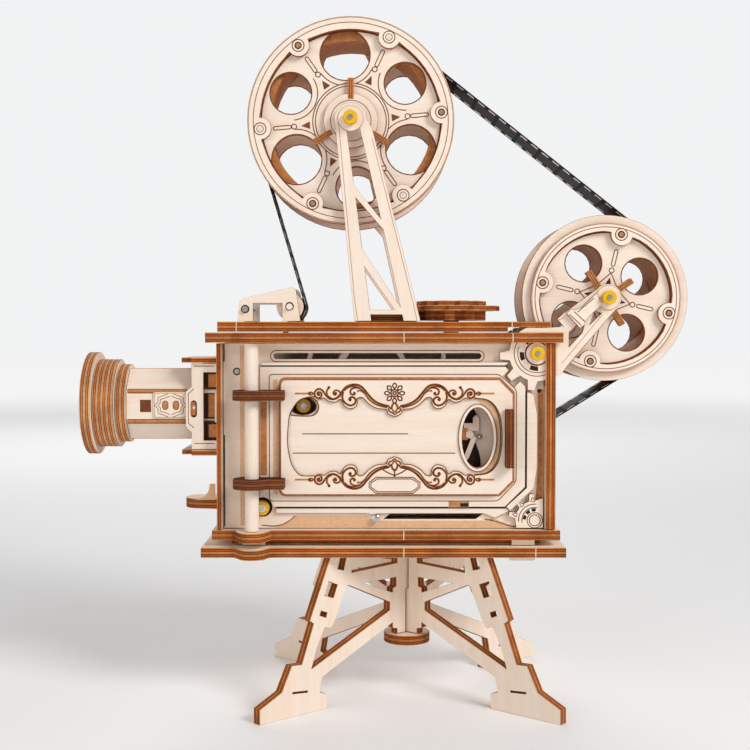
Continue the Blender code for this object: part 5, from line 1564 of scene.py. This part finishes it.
        # Black inlays paint the shade in the cog's openings.
        for i, middle in enumerate((190.0, 259.0, 129.0)):
            pen.inlay(f"cog_opening_{i}", sector(ARM_PIVOT, 4.9, 6.6, middle, 15.0 if i < 2 else 9.0),
                      self.store.black)
        pen.lines("cog_hub_ring", [ring(ARM_PIVOT, 4.4, 36)], 0.5, True)
        self.bench.cut("cog_hub", "frame", [ring(ARM_PIVOT, 4.2, 36), ring(ARM_PIVOT, 2.0, 20)], -28.3,
                       STAND_FACE, width=0.08)

    def marks(self) -> None:
        """Put the pale registration lines on the fronts of the stacked plates."""
        pale = self.store.pale
        work = (("cover_marks", -31.6, 139.2, 143.0, (-64.8, -1.9, 39.0)),
                ("base_marks", -31.6, 58.0, 61.8, (-64.8, -1.9, 47.9)),
                ("base_step_marks", -29.6, 64.3, 68.1, (-1.9,)),
                ("cover_step_marks", -28.5, 143.3, 147.1, (-65.2, 39.0)))
        for name, level, low, high, places in work:
            pen = self.pen(level)
            pen.lines(name, [[(x, low + 0.15), (x, high - 0.15)] for x in places], 0.24, False, pale)

    def tabs(self) -> None:
        """Make the pale tabs under the base and in its gap."""
        front, back = -27.0, -25.1
        for i, (left, right) in enumerate(((-64.0, -54.5), (38.6, 48.1))):
            loop = rounded([(left, 56.2), (left, 58.0), (right, 58.0), (right, 56.2)], 0.6, 3)
            self.bench.cut(f"base_tab_{i}", "frame", [loop], front, back)
            self.bench.cut(f"spacer_tab_{i}", "frame", [box(left + 0.6, right, 62.0, 64.2)], front, back)


@dataclass
class StandArt(Part):
    """Engraving and washers on the upper stand and the rear arm."""

    def build(self) -> None:
        """Make the washers, the collar on the arm and the fine lines."""
        for name, centre, radius in (("stand", UPPER_REEL, 4.8), ("arm", REAR_REEL, 4.6)):
            self.bench.cut(f"{name}_washer", "frame", [ring(centre, radius, 40), ring(centre, 1.9, 20)],
                           -28.5, STAND_FACE, width=0.12)
        pen = self.pen(STAND_FACE)
        left = [(-26.5, 222.0), (-20.6, 156.0), (-19.4, 147.8)]
        right = [(-13.9, 216.0), (2.0, 152.5), (3.0, 147.8)]
        pen.lines("stand_edge_lines", [left, right], 0.2, False, self.store.fine)
        collar = [(59.3, 150.3), (61.1, 152.0), (62.4, 151.5), (65.0, 152.5), (70.6, 157.9), (72.6, 153.4),
                  (68.4, 149.7), (66.8, 147.9), (66.1, 145.9), (64.4, 144.7)]
        self.bench.cut("arm_collar", "frame", [collar], COLLAR_FACE, STAND_FACE)
        face = self.pen(COLLAR_FACE)
        face.lines("arm_collar_lines", [[(60.4, 149.9), (64.9, 145.7)], [(62.1, 150.9), (66.4, 147.0)],
                                        [(63.5, 150.7), (69.6, 156.0)]], 0.3)
        pen.lines("arm_lines", [[(54.5, 146.9), (58.6, 148.6)], [(59.9, 130.0), (76.0, 149.4)],
                                [(58.0, 131.4), (73.0, 149.6)]], 0.2, False, self.store.fine)


@dataclass
class LensArt(Part):
    """The small pieces on the lens barrel and its bracket.

    Attributes:
        face: The level of the barrel's near side.
        middle: The ornament plate's middle.
    """

    face: float = FILM_Y - 13.6
    middle: Point = (-91.2, 115.1)

    def build(self) -> None:
        """Make the small pieces."""
        self.ornament()
        self.joints()
        self.bracket()

    def ornament(self) -> None:
        """Make the square hole and the ornament plate."""
        store = self.store
        pen = self.pen(self.face, "lens")
        pen.inlay("barrel_square_hole", box(-102.8, -99.0, 112.7, 117.0), store.brown)
        pen.lines("barrel_square_rim", [box(-102.9, -98.9, 112.6, 117.1)], 0.3, True)
        self.bench.cut("barrel_plate", "lens", [rounded(box(-98.0, -84.8, 110.0, 120.3), 1.2, 4)],
                       self.face - 0.45, self.face, width=0.08)
        plate = self.pen(self.face - 0.45, "lens", bold=1.1)
        x, z = self.middle
        for i, aside in enumerate((-2.05, 2.05)):
            opening = [(x + aside, z - 0.6), (x + aside, z + 0.6)]
            plate.inlay(f"barrel_plate_slot_{i}", slot_loop(*opening, 1.9), store.scorch)
            plate.lines(f"barrel_plate_slot_line_{i}", [slot_loop(*opening, 2.1)], 0.34, True)
        bends = (((6.1, 0.0), (4.9, 1.3), (4.8, 2.8), (3.4, 3.5), (1.0, 4.4)),
                 ((4.9, 0.0), (4.0, 1.0), (3.9, 2.2), (2.4, 2.7), (0.3, 3.6)))
        curls = [curve_through([(x + side * across, z + up * rise) for across, rise in bend])
                 for side in (-1, 1) for up in (-1, 1) for bend in bends]
        plate.lines("barrel_plate_curls", curls, 0.26)
        plate.lines("barrel_plate_lines", [rounded(box(-97.5, -85.2, 110.5, 119.8), 1.0, 4)], 0.2, True)

    def joints(self) -> None:
        """Draw the barrel's edges and joints, and what shows of it behind the bracket."""
        store = self.store
        pen = self.pen(self.face, "lens")
        edge = self.pen(FILM_Y - 5.63, "lens")
        for where, z in (("upper", 128.75), ("lower", 101.85)):
            edge.lines(f"barrel_{where}_edge", [[(-107.8, z), (-84.6, z)]], 0.5, False, store.scorch)
        for i, z in enumerate((120.6, 109.0)):
            pen.inlay(f"barrel_joint_{i}", box(-107.9, -84.9, z - 0.6, z + 0.6), store.scorch)
            pen.lines(f"barrel_joint_line_{i}", [[(-107.8, z - 0.7), (-85.0, z - 0.7)]], 0.42, False, store.dark)
            pen.lines(f"barrel_joint_rim_{i}", [[(-107.8, z + 0.7), (-85.0, z + 0.7)]], 0.2, False, store.brown)
        pen.inlay("barrel_shade", box(-84.7, -68.0, 109.9, 119.8), store.dark)
        pen.inlay("barrel_tone", box(-76.7, -68.4, 110.6, 119.4), store.scorch, 0.12)

    def bracket(self) -> None:
        """Make the bracket's strip, planks, block and pin, and the shelf's riser."""
        store = self.store
        plank_back, block_face = -22.1, -23.5
        self.bench.cut("bracket_strip", "frame", [box(-74.2, -73.1, 108.6, 119.9)], -22.35, plank_back, width=0.0)
        for i, (low, high) in enumerate(((100.2, 109.0), (121.4, 131.0))):
            self.bench.cut(f"bracket_shade_{i}", "frame", [box(-82.2, -72.9, low, high)], -22.15, -21.85,
                           width=0.0, finish=store.dark)
            plank = (105.3, 124.6)[i]
            self.bench.cut(f"bracket_plank_{i}", "frame", [box(-76.6, -73.2, plank - 2.5, plank + 2.5)], -22.3,
                           plank_back, width=0.0, finish=store.scorch)
        bracket = self.pen(BRACKET_FACE)
        bracket.lines("bracket_lines", [[(-81.9, 130.2), (-74.0, 130.2)], [(-81.9, 100.6), (-74.0, 100.6)],
                                        [(-82.0, 121.6), (-84.1, 119.6), (-84.1, 108.4), (-82.0, 106.6)]], 0.26)
        block = rounded(box(-83.3, -81.4, 111.3, 116.6), 0.5, 3)
        self.bench.cut("bracket_block", "frame", [block], block_face, -22.5, width=0.1, finish=store.scorch)
        self.pen(block_face).discs("bracket_pin", [(-82.0, 114.3)], 0.55, 0.4, store.pale, 16)
        hump = curve_through([(-82.4, 78.2), (-79.6, 79.0), (-77.4, 81.4), (-76.8, 84.3)])
        self.bench.cut("shelf_riser", "frame", [[*hump, (-74.8, 84.3), (-74.8, 78.2)]], -19.0, -17.1,
                       finish=store.glow)


@dataclass
class WindowArt(Part):
    """What shows through the oval window and the long slot."""

    def build(self) -> None:
        """Make the spokes on the feed drum and the braces behind the slot."""
        store = self.store
        face = self.pen(DRUM_FACE, "crank")
        upper = [(20.2, 106.4), (20.2, 115.2), (24.2, 115.6), (26.4, 111.4), (26.4, 106.4)]
        lower = [(20.4, 91.6), (26.9, 91.2), (27.2, 95.0), (25.4, 101.2), (22.4, 103.0), (20.4, 102.6)]
        # Black and dark inlays paint the shade in the drum's openings.
        face.inlay("drum_opening_0", upper, store.black)
        face.inlay("drum_opening_1", lower, store.dark)
        bend = curve_through([(25.4, 101.6), (27.0, 97.6), (27.7, 94.6), (27.9, 91.6)])
        edge = [(x - 2.2, z - 0.5) for x, z in reversed(bend)]
        face.inlay("drum_band", bend + edge, store.black, 0.12)
        cross = [(21.2, 105.2), (27.2, 105.2), (27.2, 110.4), (25.9, 111.6), (24.6, 110.4), (24.6, 108.4),
                 (21.2, 108.4)]
        self.bench.cut("drum_cross", "crank", [cross], -23.0, DRUM_FACE, width=0.1)
        self.bench.cut("drum_arm", "crank", [slot_loop((25.0, 102.4), (22.2, 95.2), 2.1)], -23.2, DRUM_FACE,
                       width=0.1)
        self.bench.cut("drum_block", "crank", [box(20.3, 22.8, 101.8, 106.6)], -23.1, DRUM_FACE, width=0.1,
                       finish=store.scorch)
        self.bench.cut("drum_collar", "crank", [ring(FEED_DRUM, 1.9, 5)], -23.3, DRUM_FACE, width=0.1)
        self.bench.turned("drum_pin", "crank", [(0.0, 0.0), (0.9, 0.0), (0.9, -1.2), (0.5, -1.6), (0.0, -1.7)],
                          spot(27.3, DRUM_FACE, 103.1), store.steel, sides=20)
        for i, (foot, head, wide) in enumerate(((-39.6, -37.6, 2.0), (-28.6, -24.0, 3.2), (-2.0, -6.0, 2.4),
                                                (12.5, 12.5, 1.8))):
            bar = [(foot, 130.6), (foot + wide, 130.6), (head + wide, 137.6), (head, 137.6)]
            self.bench.cut(f"slot_brace_{i}", "frame", [bar], -22.6, -21.0)


@dataclass
class GuideArt(Part):
    """The pins of the film guide on the cover."""

    def build(self) -> None:
        """Make the pin heads and their dark rings."""
        pen = self.pen((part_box("guide_near")[0][1] - SHIFT.y) / MM)
        for i, centre in enumerate(((-62.5, 152.0), (-45.5, 153.1))):
            pen.lines(f"guide_pin_ring_{i}", [ring(centre, 1.35, 22)], 0.5, True, self.store.black)
            pen.discs(f"guide_pin_head_{i}", [centre], 1.1, 0.25, self.store.steel, 20, "steel")


@dataclass
class FarArt(Part):
    """Engraved borders on the sides that face away from the door."""

    @staticmethod
    def border(left: float, right: float, low: float, high: float, cut: float) -> list[Point]:
        """A border whose corners are scooped out by a radius."""
        return (arc((left, low), cut, 90.0, 0.0, 9) + arc((right, low), cut, 180.0, 90.0, 9)
                + arc((right, high), cut, 270.0, 180.0, 9) + arc((left, high), cut, 360.0, 270.0, 9))

    def build(self) -> None:
        """Draw the borders on the far panel and the cover."""
        panel = self.pen(-WALL_FACE, side=1)
        panel.lines("far_panel_border", [self.border(-66.0, 48.0, 73.0, 134.5, 6.0),
                                         self.border(-64.2, 46.2, 74.8, 132.7, 6.0)], 0.34, True)
        cover = self.pen(147.1, side=1, axis=Axis.Z)
        cover.lines("cover_border", [box(-69.8, 50.4, -25.6, 25.6)], 0.3, True)


@dataclass
class Spacers(Part):
    """The yellow plastic spacers that show at the ends of the inner axles."""

    def build(self) -> None:
        """Make the spacer and the axle end in the peep window and by the lower roller."""
        store = self.store
        for name, body, (x, z), inner, outer in (("shutter", "shutter", SHUTTER, -21.9, -24.5),
                                                 ("lower_roller", "film_roller", LOWER_ROLLER, -25.7, -28.8)):
            ring_profile = [(1.5, inner), (2.7, inner), (2.8, inner - 0.2), (2.8, outer + 0.25), (2.6, outer),
                            (1.1, outer), (1.1, outer + 0.3), (1.5, outer + 0.4)]
            middle = spot(x, 0.0, z)
            self.bench.turned(f"{name}_spacer", body, ring_profile, middle, store.yellow)
            end = [(0.0, outer + 0.2), (1.1, outer + 0.2), (1.1, outer - 0.35), (0.9, outer - 0.6),
                   (0.0, outer - 0.6)]
            self.bench.turned(f"{name}_axle_end", body, end, middle, store.steel, sides=24)


@dataclass
class Studio:
    """The floor, the lights and the camera.

    Attributes:
        eye: The camera's place, in millimetres from the middle of the stand.
        pitch: How far the camera looks down, in degrees.
        lens: Its focal length.
    """

    eye: tuple[float, float, float] = (-12.8, -497.0, 143.2)
    pitch: float = 1.984
    lens: float = 59.52

    def build(self) -> None:
        """Make the floor, the lights and the camera."""
        self.floor()
        self.lights()
        self.camera()
        bpy.context.scene.view_settings.view_transform = "Standard"

    def floor(self) -> None:
        """Lay a wide pale floor that fades into the backdrop."""
        work = bmesh.new()
        bmesh.ops.create_circle(work, cap_ends=True, segments=96, radius=9.0)
        mesh = bpy.data.meshes.new("floor")
        work.to_mesh(mesh)
        work.free()
        made, board, place = Finish("floor_paper", 0.75).start()
        tone = board.ramp(board.noise(place, 3.0, 2.0), [(0.3, (0.90, 0.90, 0.905)), (0.7, (0.92, 0.92, 0.925))])
        away = board.node("ShaderNodeVectorMath", operation="LENGTH")
        board.feed(away.inputs[0], place)
        fade = board.put("ShaderNodeMapRange", {"Value": away.outputs["Value"], "From Min": 0.3, "From Max": 2.6,
                                                "To Max": 0.62}, interpolation_type="SMOOTHSTEP")
        path = board.node("ShaderNodeLightPath").outputs["Is Camera Ray"]
        board.dress({"Base Color": tone, "Emission Color": board.mix(path, (0.0, 0.0, 0.0), (0.93, 0.94, 0.95)),
                     "Emission Strength": fade})
        mesh.materials.append(made)
        floor = bpy.data.objects.new("floor", mesh)
        bpy.context.scene.collection.objects.link(floor)

    def lamp(self, name: str, place: Vector, aim: Vector, size: float, power: float) -> None:
        """Hang one soft lamp.

        Args:
            name: Its name.
            place: Where it hangs.
            aim: What it points at.
            size: Its side.
            power: Its power.
        """
        light = bpy.data.lights.new(name, "AREA")
        light.shape = "SQUARE"
        light.size = size
        light.energy = power
        made = bpy.data.objects.new(name, light)
        made.location = place
        made.rotation_euler = (aim - place).to_track_quat("-Z", "Y").to_euler()
        bpy.context.scene.collection.objects.link(made)

    def lights(self) -> None:
        """Hang the lamps and set the world."""
        aim = Vector((0.0, 0.0, 0.13))
        self.lamp("key", Vector((0.75, -0.75, 0.85)), aim, 0.45, 10.1)
        self.lamp("fill", Vector((-0.9, -0.9, 0.5)), aim, 1.0, 4.0)
        self.lamp("back", Vector((-0.2, 1.1, 0.9)), aim, 0.8, 6.0)
        world = bpy.data.worlds.new("studio")
        bpy.context.scene.world = world
        world.use_nodes = True
        board = Board(world.node_tree)
        shade = world.node_tree.nodes["Background"]
        path = board.node("ShaderNodeLightPath")
        seen = board.math("MAXIMUM", path.outputs["Is Camera Ray"], path.outputs["Is Transmission Ray"])
        board.feed(shade.inputs["Color"], board.mix(seen, (1.0, 0.985, 0.97), (0.885, 0.892, 0.90)))
        board.feed(shade.inputs["Strength"], board.math("MULTIPLY_ADD", seen, 0.66, 0.34))

    def camera(self) -> None:
        """Place the camera at the photograph's viewpoint."""
        data = bpy.data.cameras.new("camera")
        data.sensor_width = 36.0
        data.lens = self.lens
        made = bpy.data.objects.new("camera", data)
        made.location = spot(*self.eye)
        made.rotation_euler = (math.radians(90.0 - self.pitch), 0.0, 0.0)
        bpy.context.scene.collection.objects.link(made)
        bpy.context.scene.camera = made


def main() -> None:
    """Build the model piece by piece."""
    logging.basicConfig(level=logging.INFO)
    bench = Bench(Store())
    for part in (Stand(bench), Case(bench), Door(bench), Lens(bench), Reels(bench), FilmStrip(bench),
                 DoorArt(bench), CaseArt(bench), StandArt(bench), LensArt(bench), GuideArt(bench), WindowArt(bench),
                 FarArt(bench), Spacers(bench)):
        part.build()
        LOG.info("%s done, %d pieces so far", type(part).__name__, bench.count)
    Studio().build()


if __name__ == "__main__":
    main()
